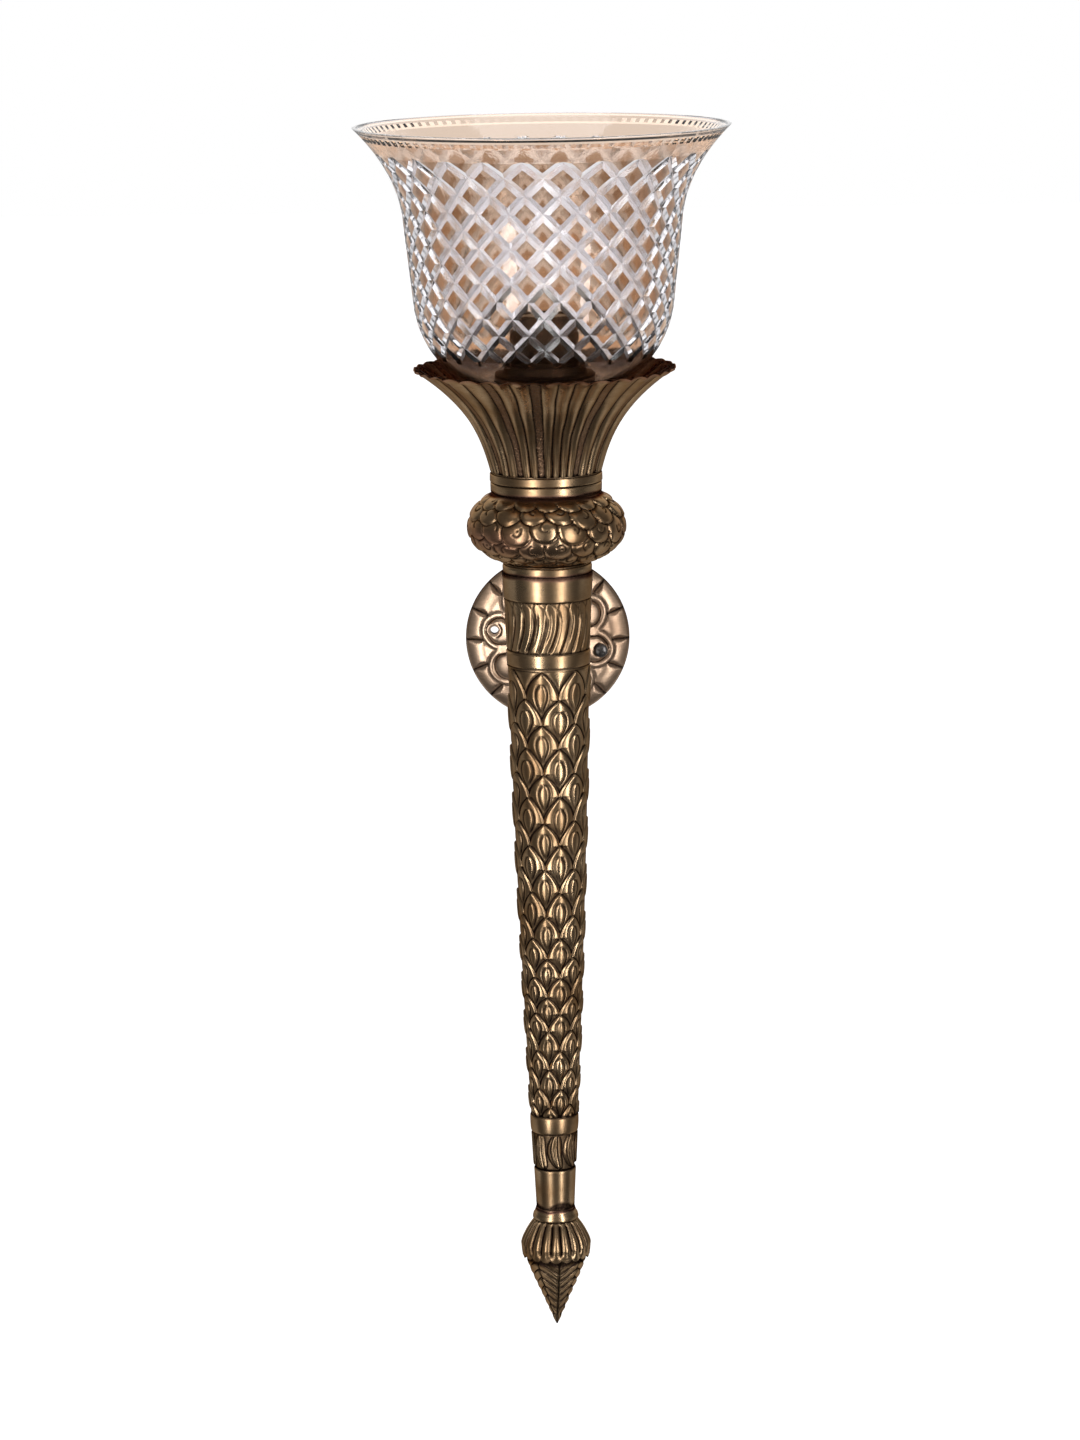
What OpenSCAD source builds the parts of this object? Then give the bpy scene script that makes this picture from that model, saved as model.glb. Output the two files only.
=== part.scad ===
// Torch wall sconce in antique brass with a cut glass bell shade, millimetres.
// +Z is up. The origin is the centre of the wall plate's back, and the torch stands out towards -Y.

/* [Overall] */
// Distance from the wall to the torch's centre line
reach = 130; // [115:1:170]
// Height of the shaft's top above the arm
shaft_rise = 63; // [54:1:90]
// Length of the tapered shaft
shaft_len = 384; // [310:1:480]
// Thickness of the brass sheet that the shells are spun from
sheet = 1.2; // [0.8:0.1:1.6]

/* [Shaft] */
// Diameter at the shaft's top
shaft_top_d = 52; // [48:0.5:64]
// Diameter where the leaf rows start
leaf_top_d = 47.6; // [44:0.2:58]
// Diameter where the leaf rows end
leaf_end_d = 27.8; // [25:0.2:34]
// Diameter at the shaft's lower end
shaft_end_d = 22.4; // [19:0.2:27]
// How far the leaf rows swell past a straight taper
shaft_swell = 0.9; // [0:0.1:1.5]
// Height of the plain band at the top
top_plain_h = 15; // [8:0.5:20]
// Height of the gadrooned band
gadroon_h = 31; // [20:0.5:36]
// Height of the plain band above the leaf rows
upper_band_h = 9; // [5:0.5:12]
// Height of the plain band below the leaf rows
lower_band_h = 11.5; // [6:0.5:15]
// Height of the band of ovals
oval_band_h = 21.5; // [15:0.5:28]
// Height of the plain tail
tail_h = 25; // [15:0.5:40]
// How far a plain band stands proud of the chased fields
band_proud = 0.4; // [0.2:0.1:0.8]

/* [Rings and knob] */
// Height of the ring under the knob
neck_ring_h = 6; // [4:0.5:10]
// Diameter of the ring under the knob
neck_ring_d = 50.6; // [50:0.2:51.6]
// Height of the knob
knob_h = 41; // [34:0.5:52]
// Largest diameter of the knob
knob_d = 90.8; // [78:0.2:110]
// Height of the ring under the cup
cup_ring_h = 12; // [10:0.5:18]
// Diameter of the ring under the cup
cup_ring_d = 65; // [60:0.5:74]
// Height that a turned ring reaches into the shell that it centres
register_h = 3; // [2:0.5:5]
// Thickness of a ring's web
web_t = 4; // [3:0.5:5]

/* [Cup] */
// Height of the fluted cup
cup_h = 60; // [50:1:72]
// Diameter across the cup's scalloped lip
cup_lip_d = 151; // [128:1:181]
// Groups of two ribs and a sunk band round the cup
flute_groups = 12; // [8:1:14]
// Depth of the sunk bands
flute_depth = 0.6; // [0.2:0.1:0.7]
// Depth of the notches between the lip's scallops
scallop_depth = 1.6; // [0.5:0.1:2.5]

/* [Glass shade] */
// Height of the shade
shade_h = 150; // [125:1:180]
// Diameter across the rim
shade_rim_d = 216; // [195:1:240]
// Diameter at the throat, below the flared rim
shade_throat_d = 161; // [148:1:180]
// Diameter where the barrel turns in to the foot
shade_barrel_d = 149.4; // [136:0.2:164]
// Diameter of the foot
shade_foot_d = 66; // [60:1:74]
// Thickness of the glass
glass_t = 3; // [2:0.2:4]

/* [Gallery] */
// Diameter of the gallery's flange, which carries the shade
gallery_d = 74; // [68:1:80]
// Height of the gallery's flange above the ring under the cup
gallery_rise = 46.5; // [42:0.5:52]
// Depth of the well that the lampholder stands in
well_depth = 21.3; // [18:0.1:24]
// Thickness of the gasket under the shade
gasket_t = 1.5; // [1:0.1:2.5]

/* [Lampholder] */
// Outer diameter of the lampholder's threaded shell
holder_d = 40; // [38:0.5:44]
// Inner diameter of the lamp's screw shell
socket_d = 26.6; // [26:0.1:27]
// Height of the lampholder's cap
holder_cap_h = 21; // [18:0.5:24]
// Height of the lampholder's shell
holder_shell_h = 44; // [38:0.5:50]
// Outer diameter of the shade ring
shade_ring_d = 58; // [52:1:62]
// Height of the shade ring
shade_ring_h = 8; // [6:0.5:12]

/* [Through stud] */
// Outer diameter of the threaded stud
stud_d = 10; // [9:0.5:12]
// Bore of the threaded stud
stud_bore = 7; // [6:0.5:8]
// Outer diameter of the stem that holds the gallery up
stem_d = 16; // [14:0.5:20]

/* [Wall plate and arm] */
// Diameter of the wall plate
plate_d = 100; // [92:1:130]
// Depth of the wall plate
plate_depth = 15; // [14:0.5:20]
// Circle diameter of the two wall screws
screw_pcd = 66; // [64:0.5:76]
// Diameter of a wall screw hole
screw_hole_d = 5; // [4:0.5:6]
// Number of raised fingers on the plate
fingers = 8; // [6:2:12]
// Angle of the first finger from horizontal
finger_phase = -11.5; // [-20:0.5:20]
// Diameter of the arm
arm_d = 18; // [16:0.5:22]
// Diameter of the arm's threaded ends
arm_thread_d = 12; // [11:0.5:14]
// Bore of the arm
arm_bore = 8.6; // [8:0.1:9]

/* [Finial] */
// Height of the collar above the finial
finial_collar_h = 4; // [3:0.5:6]
// Height of the ribbed bulb
bulb_h = 25; // [20:0.5:40]
// Largest diameter of the bulb
bulb_d = 41.8; // [36:0.2:50]
// Ribs round the bulb
bulb_ribs = 20; // [14:1:24]
// Length of the leaf point below the bulb
spear_h = 45; // [30:1:55]

/* [Fits] */
// Radial clearance of a piece that is screwed, slid or passed through another
slip = 0.2; // [0.1:0.05:0.3]
// Clearance of the shade and its ring round the lampholder
lift_gap = 0.4; // [0.3:0.05:0.6]
// Diameter of an insulated wire
wire_d = 2; // [1.8:0.1:2.2]

/* [Hidden] */
$fn = 96;

// How far a cutting shape runs past the surface that it cuts
past = 1;

// Heights of the stack, from the shaft up
z_shaft = shaft_rise;
z_neck = z_shaft + neck_ring_h;
z_knob = z_neck + knob_h;
z_ring = z_knob + cup_ring_h;
z_lip = z_ring + cup_h;
z_flange = z_ring + gallery_rise;
z_well = z_flange - well_depth;
z_foot = z_flange + gasket_t;
z_rim = z_foot + shade_h;
// Heights down the shaft
z_gadroon = z_shaft - top_plain_h;
z_upper_band = z_gadroon - gadroon_h;
z_leaf = z_upper_band - upper_band_h;
z_end = z_shaft - shaft_len;
z_tail = z_end + tail_h;
z_oval = z_tail + oval_band_h;
z_lower_band = z_oval + lower_band_h;
z_bulb = z_end - finial_collar_h;
z_point = z_bulb - bulb_h;

// ---------- shared geometry ----------

function bezier(a, b, c, d, n) =
    [for (i = [0:n]) let (t = i / n, s = 1 - t)
        s * s * s * a + 3 * s * s * t * b + 3 * s * t * t * c + t * t * t * d];

function unit(v) = v / norm(v);

function reverse(list) = [for (i = [len(list) - 1:-1:0]) list[i]];

// Direction of a curve at point i, from its neighbours
function heading(p, i) = unit(p[min(i + 1, len(p) - 1)] - p[max(i - 1, 0)]);

// The curve moved sideways by t: to its left as seen along it, for a positive t
function beside(p, t) =
    [for (i = [0:len(p) - 1]) let (h = heading(p, i)) p[i] + t * [-h[1], h[0]]];

// The same, kept between the heights of the curve's two ends so that both ends are cut square
function wall_of(p, t) =
    let (low = min(p[0][1], p[len(p) - 1][1]), high = max(p[0][1], p[len(p) - 1][1]))
    [for (q = beside(p, t)) [q[0], min(max(q[1], low), high)]];

// A shell spun from sheet of thickness t, whose outside follows the curve from bottom to top
module spun(curve, t = sheet) {
    rotate_extrude() polygon(concat(curve, reverse(wall_of(curve, t))));
}

module tube(d, bore, h) {
    difference() {
        cylinder(d = d, h = h);
        translate([0, 0, -past]) cylinder(d = bore, h = h + 2 * past);
    }
}

// Hexagonal nut of the given width across flats
module hex_nut(flats, bore, h) {
    difference() {
        cylinder(d = flats / cos(30), h = h, $fn = 6);
        translate([0, 0, -past]) cylinder(d = bore, h = h + 2 * past);
    }
}

// Skin over a list of rings with equal numbers of points. A looped skin joins the last ring to the first.
module loft(rings, looped = false) {
    n = len(rings[0]);
    m = len(rings);
    spans = looped ? m : m - 1;
    sides = [for (i = [0:spans - 1]) for (j = [0:n - 1])
        let (k = (j + 1) % n, a = i * n, b = ((i + 1) % m) * n)
        each [[a + j, b + j, a + k], [a + k, b + j, b + k]]];
    ends = looped ? [] : [[for (j = [0:n - 1]) j], [for (j = [n - 1:-1:0]) (m - 1) * n + j]];
    polyhedron(points = [for (r = rings) each r], faces = concat(sides, ends), convexity = 6);
}

module at_torch() {
    translate([0, -reach, 0]) children();
}

// Along the arm: local +Z points from the torch to the wall, and the base stands y from the wall
module along_arm(y) {
    translate([0, -y, 0]) rotate([-90, 0, 0]) children();
}

// ---------- shaft ----------

function mix(a, b, t) = a + (b - a) * t;

// Radius of the shaft's plain taper at height z
function shaft_r(z) =
    z > z_leaf ? mix(leaf_top_d, shaft_top_d, (z - z_leaf) / (z_shaft - z_leaf)) / 2
    : z > z_lower_band ?
        let (t = (z - z_lower_band) / (z_leaf - z_lower_band))
        mix(leaf_end_d, leaf_top_d, t) / 2 + 4 * shaft_swell * t * (1 - t)
    : mix(shaft_end_d, leaf_end_d, (z - z_end) / (z_lower_band - z_end)) / 2;

leaf_steps = 10;
leaf_zone = [for (i = [0:leaf_steps])
    let (z = mix(z_lower_band, z_leaf, i / leaf_steps)) [shaft_r(z), z]];

// A plain band between two heights, proud of the taper
function band(low, high) = [[shaft_r(low) + band_proud, low], [shaft_r(high) + band_proud, high]];

shaft_outline = concat(
    band(z_end, z_tail), [[shaft_r(z_tail), z_tail], [shaft_r(z_oval), z_oval]],
    band(z_oval, z_lower_band), leaf_zone,
    band(z_leaf, z_upper_band),
    [[shaft_r(z_upper_band), z_upper_band], [shaft_r(z_gadroon), z_gadroon]],
    band(z_gadroon, z_shaft));

shaft_bore = concat(
    [[shaft_r(z_end) - sheet, z_end]],
    [for (p = leaf_zone) [p[0] - sheet, p[1]]],
    [[shaft_r(z_shaft) - sheet, z_shaft]]);

module shaft() {
    color("darkgoldenrod") at_torch() difference() {
        rotate_extrude() polygon(concat(shaft_outline, reverse(shaft_bore)));
        rotate([-90, 0, 0]) cylinder(d = arm_thread_d + 2 * slip, h = shaft_top_d);
    }
}

// ---------- rings and knob ----------

stud_hole = stud_d + 2 * slip;

// Seats on the shaft's top edge, reaches into its bore and stands up into the knob's foot. Its foot follows
// the shaft and its top follows the knob, and its recess leaves a wall inside whichever is narrower.
module neck_ring() {
    spigot = 2 * (shaft_r(z_shaft - web_t) - sheet - slip);
    seat_r = shaft_top_d / 2 - neck_seat_inset;
    foot_register_r = knob_foot_r - sheet - slip;
    recess = min(spigot - 4 * sheet, 2 * foot_register_r - sheet);
    bead = 0.8;
    color("goldenrod") at_torch() difference() {
        union() {
            translate([0, 0, z_shaft - web_t]) cylinder(d = spigot, h = web_t + neck_ring_h / 2);
            rotate_extrude() polygon([
                [0, z_shaft], [seat_r - bead, z_shaft],
                [seat_r, z_shaft + bead], [neck_ring_d / 2, z_neck - bead],
                [neck_ring_d / 2 - bead, z_neck], [0, z_neck]]);
            translate([0, 0, z_neck]) cylinder(r = foot_register_r, h = register_h);
        }
        translate([0, 0, z_shaft - web_t - past])
            cylinder(d = stud_hole, h = neck_ring_h + web_t + register_h + 2 * past);
        translate([0, 0, z_shaft]) cylinder(d = recess, h = neck_ring_h + register_h + past);
    }
}

// How far inside the shaft's edge the neck ring's foot stands
neck_seat_inset = 0.7;

// How far inside the neck ring's edge the knob's foot stands
knob_foot_inset = 1.2;
knob_foot_r = neck_ring_d / 2 - knob_foot_inset;
knob_top_r = cup_ring_d / 2 - 1;

function knob_curve() =
    let (mid_z = z_neck + knob_h / 2, rise = knob_h / 2, r = knob_d / 2)
    concat(
        bezier([knob_foot_r, z_neck], [mix(knob_foot_r, r, 0.6), z_neck + rise * 0.22],
               [r, mid_z - rise * 0.45], [r, mid_z], 10),
        [for (i = [1:10]) bezier([r, mid_z], [r, mid_z + rise * 0.45],
            [mix(knob_top_r, r, 0.62), mid_z + rise * 0.66], [knob_top_r, z_knob], 10)[i]]);

module knob() {
    color("peru") at_torch() spun(knob_curve());
}

// Turned ring with a web: it centres the knob below and the cup above
module cup_ring() {
    groove_r = 0.5;
    groove_share = 0.4;
    color("goldenrod") at_torch() difference() {
        union() {
            translate([0, 0, z_knob]) cylinder(d = cup_ring_d, h = cup_ring_h);
            translate([0, 0, z_ring])
                cylinder(r = cup_foot_r - sheet - slip, h = register_h);
            translate([0, 0, z_knob - register_h])
                cylinder(r = knob_top_r - 3 * sheet, h = register_h + 1);
        }
        translate([0, 0, z_knob - register_h - past])
            cylinder(d = stud_hole, h = cup_ring_h + 2 * register_h + 2 * past);
        translate([0, 0, z_knob - register_h - past])
            cylinder(r = knob_top_r - 5 * sheet, h = web_top - web_t - z_knob + register_h + past);
        translate([0, 0, z_knob + cup_ring_h * groove_share]) rotate_extrude()
            translate([cup_ring_d / 2, 0]) circle(r = groove_r, $fn = 24);
    }
}

// ---------- fluted cup ----------

cup_foot_r = cup_ring_d / 2 - 0.7;
cup_steps = 10;

// Outside of the cup without its flutes, from the foot to the lip
function cup_curve(extra = 0) =
    let (r = cup_foot_r, lip = cup_lip_d / 2 + extra)
    bezier([r, z_ring], [mix(r, lip, 0.115), z_ring + cup_h * 0.32],
           [mix(r, lip, 0.275), z_ring + cup_h * 0.65], [lip, z_lip], cup_steps);

flute_samples = 12;
cup_points = flute_groups * flute_samples;

// Relief of the flutes, as a share of their depth: a sunk band, then two ribs
flute_form = [-1, -1, -1, -0.7, 0.4, 0.8, 0.4, -0.7, 0.4, 0.8, 0.4, -0.7];

// Flutes fade out at the foot and under the lip
function flute_share(i) = i == 0 || i >= cup_steps ? 0 : i == cup_steps - 1 ? 0.5 : 1;

// Three scallops to a group, each with a notch on both sides
function scallop(j) = (j % 4) == 2 ? 0 : (j % 4) == 0 ? -1 : -0.3;

function cup_ring_of_points(curve, i, form, edge) = [for (j = [0:cup_points - 1])
    let (a = 360 * j / cup_points,
         lip = i >= cup_steps - 1 ? edge * (i == cup_steps ? 1 : 0.3) * scallop(j) : 0,
         r = curve[i][0] + form * flute_share(i) * flute_form[j % flute_samples] + lip)
    [r * cos(a), r * sin(a), curve[i][1]]];

// Turn of the first sunk band from the front
flute_turn = -5;

// The lip's scallops are cut through the sheet, and the flutes are chased into its outside
module cup() {
    outside = cup_curve();
    inside = wall_of(outside, sheet);
    color("darkgoldenrod") at_torch() rotate([0, 0, flute_turn - 90])
        loft(concat(
            [for (i = [0:cup_steps]) cup_ring_of_points(outside, i, flute_depth, scallop_depth)],
            [for (i = [cup_steps:-1:0]) cup_ring_of_points(inside, i, 0, scallop_depth)]),
            looped = true);
}

// ---------- stud, stem and gallery ----------

washer_t = 1.5;
washer_d = 26;
tag_t = 0.8;
tag_d = 18;
tongue_w = 5;
tongue_reach = 14;
nut_h = 6;
nut_flats = 17;
stud_spare = 2;
stud_lap = 5;
z_washer = z_shaft - web_t - washer_t;
z_tag = z_washer - tag_t;
z_nut = z_tag - nut_h;
stud_low = z_nut - stud_spare;
stud_high = z_well + stud_lap;
web_top = z_ring + register_h;

module through_stud() {
    color("gold") at_torch() translate([0, 0, stud_low])
        tube(stud_d, stud_bore, stud_high - stud_low);
}

module stud_washer() {
    color("silver") at_torch() translate([0, 0, z_washer]) tube(washer_d, stud_hole, washer_t);
}

// Ring tag for the earth wire, with its tongue towards the front
module earth_tag() {
    color("silver") at_torch() translate([0, 0, z_tag]) difference() {
        union() {
            cylinder(d = tag_d, h = tag_t);
            translate([-tongue_w / 2, -tongue_reach, 0]) cube([tongue_w, tongue_reach - stud_d / 2, tag_t]);
        }
        translate([0, 0, -past]) cylinder(d = stud_hole, h = tag_t + 2 * past);
    }
}

module stud_nut() {
    color("gold") at_torch() translate([0, 0, z_nut]) hex_nut(nut_flats, stud_hole, nut_h);
}

module stem() {
    color("goldenrod") at_torch() translate([0, 0, web_top])
        tube(stem_d, stud_hole, z_well - sheet - web_top);
}

// Spun seat for the shade, with a well that takes the lampholder's cap
module gallery() {
    well_r = holder_d / 2 + 1;
    round_r = 2;
    curl_h = 1.2;
    color("goldenrod") at_torch() difference() {
        rotate_extrude() polygon([
            [0, z_well - sheet], [well_r + sheet - round_r, z_well - sheet],
            [well_r + sheet, z_well + round_r],
            [well_r + sheet, z_flange - sheet], [gallery_d / 2, z_flange - sheet],
            [gallery_d / 2, z_flange + curl_h], [gallery_d / 2 - sheet, z_flange + curl_h],
            [gallery_d / 2 - sheet, z_flange], [well_r, z_flange],
            [well_r, z_well + round_r], [well_r - round_r, z_well], [0, z_well]]);
        translate([0, 0, z_well - sheet - past]) cylinder(d = stud_hole, h = sheet + 2 * past);
    }
}

gasket_inset = 1;

module gasket() {
    color("dimgray") at_torch() translate([0, 0, z_flange])
        tube(shade_foot_d - 2 * gasket_inset, holder_d + 2 * gasket_t, gasket_t);
}

// ---------- lampholder ----------

z_cap_top = z_well + holder_cap_h;
shell_wall = 1.4;
z_shell_top = z_cap_top + holder_shell_h;
insulator_h = 12;
z_insulator_top = z_cap_top + insulator_h;
contact_h = 4;
contact_well_d = 14;
insulator_r = holder_d / 2 - shell_wall - slip;
liner_wall = 2.6;
mouth_t = 1.5;
terminal_x = 5;
terminal_size = [5, 7, 6];

module holder_cap() {
    r = holder_d / 2;
    wall = 1.5;
    ledge = 3.4;
    color("gold") at_torch() difference() {
        rotate_extrude() polygon([
            [0, z_well], [r * 0.65, z_well], [r * 0.9, z_well + 4], [r * 0.96, z_well + 8],
            [r, z_cap_top - 4], [r, z_cap_top], [r - ledge, z_cap_top],
            [r - ledge, z_cap_top - 4], [r * 0.96 - wall, z_well + 8],
            [r * 0.9 - wall, z_well + 5], [r * 0.65 - wall, z_well + 2], [0, z_well + 2]]);
        translate([0, 0, z_well - past]) cylinder(d = stud_hole, h = wall + 3 * past);
    }
}

// Ceramic base with a recess for the centre contact
module holder_insulator() {
    color("ivory") at_torch() difference() {
        translate([0, 0, z_cap_top]) cylinder(r = insulator_r, h = insulator_h);
        translate([0, 0, z_insulator_top - contact_h])
            cylinder(d = contact_well_d, h = contact_h + past);
    }
}

module holder_shell() {
    r = holder_d / 2;
    color("gold") at_torch() rotate_extrude() polygon([
        [r - shell_wall, z_cap_top], [r, z_cap_top], [r, z_shell_top - 1], [r - 1, z_shell_top],
        [r - shell_wall - liner_wall, z_shell_top],
        [r - shell_wall - liner_wall, z_shell_top - mouth_t],
        [r - shell_wall, z_shell_top - mouth_t]]);
}

module holder_liner() {
    color("ivory") at_torch() translate([0, 0, z_insulator_top])
        tube(2 * insulator_r, 2 * (insulator_r - liner_wall), z_shell_top - mouth_t - z_insulator_top);
}

// Threaded socket for the lamp, held down by its flange
module screw_shell() {
    flange_t = 1;
    depth = 24;
    color("gold") at_torch() translate([0, 0, z_insulator_top]) difference() {
        union() {
            cylinder(d = socket_d + 1, h = depth);
            cylinder(r = insulator_r - liner_wall - slip, h = flange_t);
        }
        translate([0, 0, flange_t]) cylinder(d = socket_d, h = depth);
        translate([0, 0, -past]) cylinder(d = contact_well_d, h = flange_t + 2 * past);
    }
}

// Sprung tongue that meets the foot of the lamp
module centre_contact() {
    width = 5;
    half = 5;
    leaf_t = 0.6;
    bend_x = 3;
    color("gold") at_torch() translate([width / 2, 0, z_insulator_top - contact_h])
        rotate([90, 0, -90]) linear_extrude(width) polygon([
            [-half, 0], [half, 0], [half, leaf_t], [1 - half, leaf_t],
            [bend_x, contact_h - leaf_t], [bend_x - leaf_t / 3, contact_h],
            [-half, leaf_t * 5 / 3]]);
}

// Screw terminals under the insulator
module terminals() {
    color("gold") at_torch() for (x = [-1, 1])
        translate([x * terminal_x, 0, z_cap_top - terminal_size[2]]) difference() {
            translate([-terminal_size[0] / 2, -terminal_size[1] / 2, 0]) cube(terminal_size);
            translate([0, 0, -past]) cylinder(d = wire_d + 2 * slip, h = terminal_size[2] - past);
        }
}

// ---------- glass shade and its ring ----------

barrel_h = 0.325;
throat_h = 0.68;
shade_hole = holder_d + 2 * lift_gap + 2;
foot_pad = 4;
fibre_t = 1;

// Outside of the glass from the foot's edge to the rim
function shade_curve() =
    let (foot = shade_foot_d / 2, barrel = shade_barrel_d / 2, throat = shade_throat_d / 2,
         rim = shade_rim_d / 2, zb = z_foot + shade_h * barrel_h, zt = z_foot + shade_h * throat_h)
    concat(
        bezier([foot, z_foot + 1], [mix(foot, barrel, 0.53), z_foot + 4],
               [barrel - 2.7, mix(z_foot, zb, 0.5)], [barrel, zb], 10),
        [for (i = [1:4]) [mix(barrel, throat, i / 4), mix(zb, zt, i / 4)]],
        [for (i = [1:10]) bezier([throat, zt], [throat + 2, mix(zt, z_rim, 0.28)],
            [mix(throat, rim, 0.38), mix(zt, z_rim, 0.65)], [rim, z_rim], 10)[i]]);

module glass_shade() {
    outside = shade_curve();
    inside = wall_of(outside, glass_t);
    hollow = [for (p = reverse(inside)) if (p[1] > z_foot + foot_pad) p];
    color("wheat", 0.5) at_torch() rotate_extrude() polygon(concat(
        [[shade_hole / 2, z_foot], [shade_foot_d / 2 - 1, z_foot]],
        outside, hollow, [[shade_foot_d / 2, z_foot + foot_pad], [shade_hole / 2, z_foot + foot_pad]]));
}

module fibre_washer() {
    color("sienna") at_torch() translate([0, 0, z_foot + foot_pad])
        tube(shade_ring_d + 2 * fibre_t, shade_hole, fibre_t);
}

// Flanged ring that screws down the lampholder's shell and holds the shade
module shade_ring() {
    low = z_foot + foot_pad + fibre_t;
    bore_r = holder_d / 2 + lift_gap;
    flange_t = 2.5;
    collar_t = 3;
    color("gold") at_torch() rotate_extrude() polygon([
        [bore_r, low], [shade_ring_d / 2, low], [shade_ring_d / 2, low + flange_t],
        [bore_r + collar_t + 1, low + flange_t + 1],
        [bore_r + collar_t, low + shade_ring_h], [bore_r, low + shade_ring_h]]);
}

// ---------- wall plate ----------

finger_out = screw_pcd / 2;
flat_r = 17;
ring_in_r = plate_d / 2 - 12;
shoulder_h = plate_depth * 0.6;
inner_flat_y = plate_depth - sheet;

// Front of the plate as radius and height off the wall, from the rim to inside the arm's hole
function plate_front() = concat(
    bezier([plate_d / 2, 0], [plate_d / 2, shoulder_h * 0.6],
           [plate_d / 2 - 5, shoulder_h * 0.97], [ring_in_r, shoulder_h], 5),
    [for (t = [0.18, 0.45, 0.75, 1]) [mix(ring_in_r, flat_r, t), mix(shoulder_h, plate_depth, t)]],
    [[arm_thread_d / 2 - 1, plate_depth]]);

// Share of the raised fingers' relief at each ring of the front, and of the petals' creases
finger_share = [0, 0, 0, 0, 0, 0.15, 1, 1, 0.6, 0, 0];
crease_share = [0.4, 0.8, 1, 1, 0.8, 0.3, 0, 0, 0, 0, 0];
finger_rise = 2.2;
crease_depth = 0.8;

// Relief round one finger: its crown, its flanks and the domed valley between two fingers
finger_form = [1, 0.8, -0.35, -0.1, 0.1, -0.1, -0.35, 0.8];
plate_samples = 8;
plate_points = fingers * plate_samples;

// The ring of the plate's surface at place i of a curve, with creases midway between finger and valley
function plate_ring(curve, i, relief) = [for (j = [0:plate_points - 1])
    let (a = -360 * j / plate_points, p = curve[i],
         raised = finger_rise * finger_share[i] * finger_form[j % plate_samples],
         crease = (j % 4) == 2 ? crease_depth * crease_share[i] : 0)
    [p[0] * cos(a), p[0] * sin(a), max(0, p[1] + relief * (raised - crease))]];

// Embossed sheet dish: a ring of petals round raised fingers, two of which take the wall screws
module wall_plate() {
    front = plate_front();
    back = [for (p = beside(front, sheet)) [p[0], max(p[1], 0)]];
    last = len(front) - 1;
    color("tan") rotate([90, 0, 0]) difference() {
        rotate([0, 0, finger_phase]) loft(concat(
            [for (i = [0:last]) plate_ring(front, i, 1)],
            [for (i = [last:-1:0]) plate_ring(back, i, i == 0 ? 0 : 1)]), looped = true);
        translate([0, 0, -past]) cylinder(d = arm_hole, h = plate_depth + 5 * past);
        for (a = [finger_phase, finger_phase + 180]) rotate([0, 0, a])
            translate([finger_out, 0, -past]) cylinder(d = screw_hole_d, h = plate_depth + 5 * past);
    }
}

// ---------- arm ----------

bracket_t = 1;
arm_washer_t = 1;
arm_washer_d = 22;
arm_nut_h = 4;
arm_spare = 0.8;
bracket_ring_d = 20;
bracket_w = 10;
bracket_lap = 8;
inner_saddle_d = 21;
rosette_t = 5;
saddle_t = 6;
saddle_d = 25;
arm_hole = arm_thread_d + 2 * slip;
shaft_back_y = reach - shaft_r(0);
shaft_inner_y = shaft_back_y + sheet;
saddle_depth = 3.2;
inner_nut_y = shaft_inner_y + saddle_depth;
arm_flats = 19;

module arm_tube() {
    back_end = inner_flat_y - bracket_t - arm_washer_t - arm_nut_h - arm_spare;
    front_end = inner_nut_y + arm_nut_h + arm_spare;
    back_shoulder = plate_depth + rosette_t;
    front_shoulder = shaft_back_y - saddle_t;
    color("goldenrod") difference() {
        union() {
            along_arm(front_end) cylinder(d = arm_thread_d, h = front_end - back_end);
            along_arm(front_shoulder) cylinder(d = arm_d, h = front_shoulder - back_shoulder);
        }
        along_arm(front_end + past) cylinder(d = arm_bore, h = front_end + 2 * past);
    }
}

module arm_rosette() {
    color("goldenrod") along_arm(plate_depth + rosette_t) difference() {
        rotate_extrude() polygon([[0, 0], [arm_d / 2 + 1, 0], [arm_d / 2 + 2, 1.5],
            [arm_d / 2 + 4.5, 3], [arm_d / 2 + 5.5, rosette_t], [0, rosette_t]]);
        translate([0, 0, -past]) cylinder(d = arm_hole, h = rosette_t + 2 * past);
    }
}

module arm_back_washer() {
    color("silver") along_arm(inner_flat_y - bracket_t) tube(arm_washer_d, arm_hole, arm_washer_t);
}

module arm_back_nut() {
    color("gold") along_arm(inner_flat_y - bracket_t - arm_washer_t)
        hex_nut(arm_flats, arm_hole, arm_nut_h);
}

// The shaft's solid body with its surface moved outwards by grow, used to cut the saddles to fit
module shaft_form(grow) {
    at_torch() rotate_extrude() polygon(concat(
        [[0, z_lower_band]], [for (p = shaft_outline) if (p[1] >= z_lower_band) [p[0] + grow, p[1]]],
        [[0, z_shaft]]));
}

// Collar between the arm and the shaft, hollowed to the shaft's round
module arm_saddle() {
    color("goldenrod") difference() {
        along_arm(reach) cylinder(d = saddle_d, h = reach - shaft_back_y + saddle_t);
        shaft_form(slip / 2);
        along_arm(reach + past) cylinder(d = arm_hole, h = reach);
    }
}

// Washer inside the shaft, domed to its bore on one side and flat for the nut on the other
module arm_inner_saddle() {
    color("silver") intersection() {
        difference() {
            along_arm(inner_nut_y) cylinder(d = inner_saddle_d, h = saddle_depth + 2 * past);
            along_arm(reach + past) cylinder(d = arm_hole, h = reach);
        }
        shaft_form(-sheet - band_proud - slip / 2);
    }
}

module arm_inner_nut() {
    color("gold") along_arm(inner_nut_y + arm_nut_h) hex_nut(arm_flats, arm_hole, arm_nut_h);
}

// ---------- terminal block behind the plate ----------

block_top = -14;
block_h = 12;
block_w = 22;
block_front = 8.5;
block_back = 1;
block_pitch = 7;
block_screw_d = 3;
wire_entry_y = 4.5;

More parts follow.
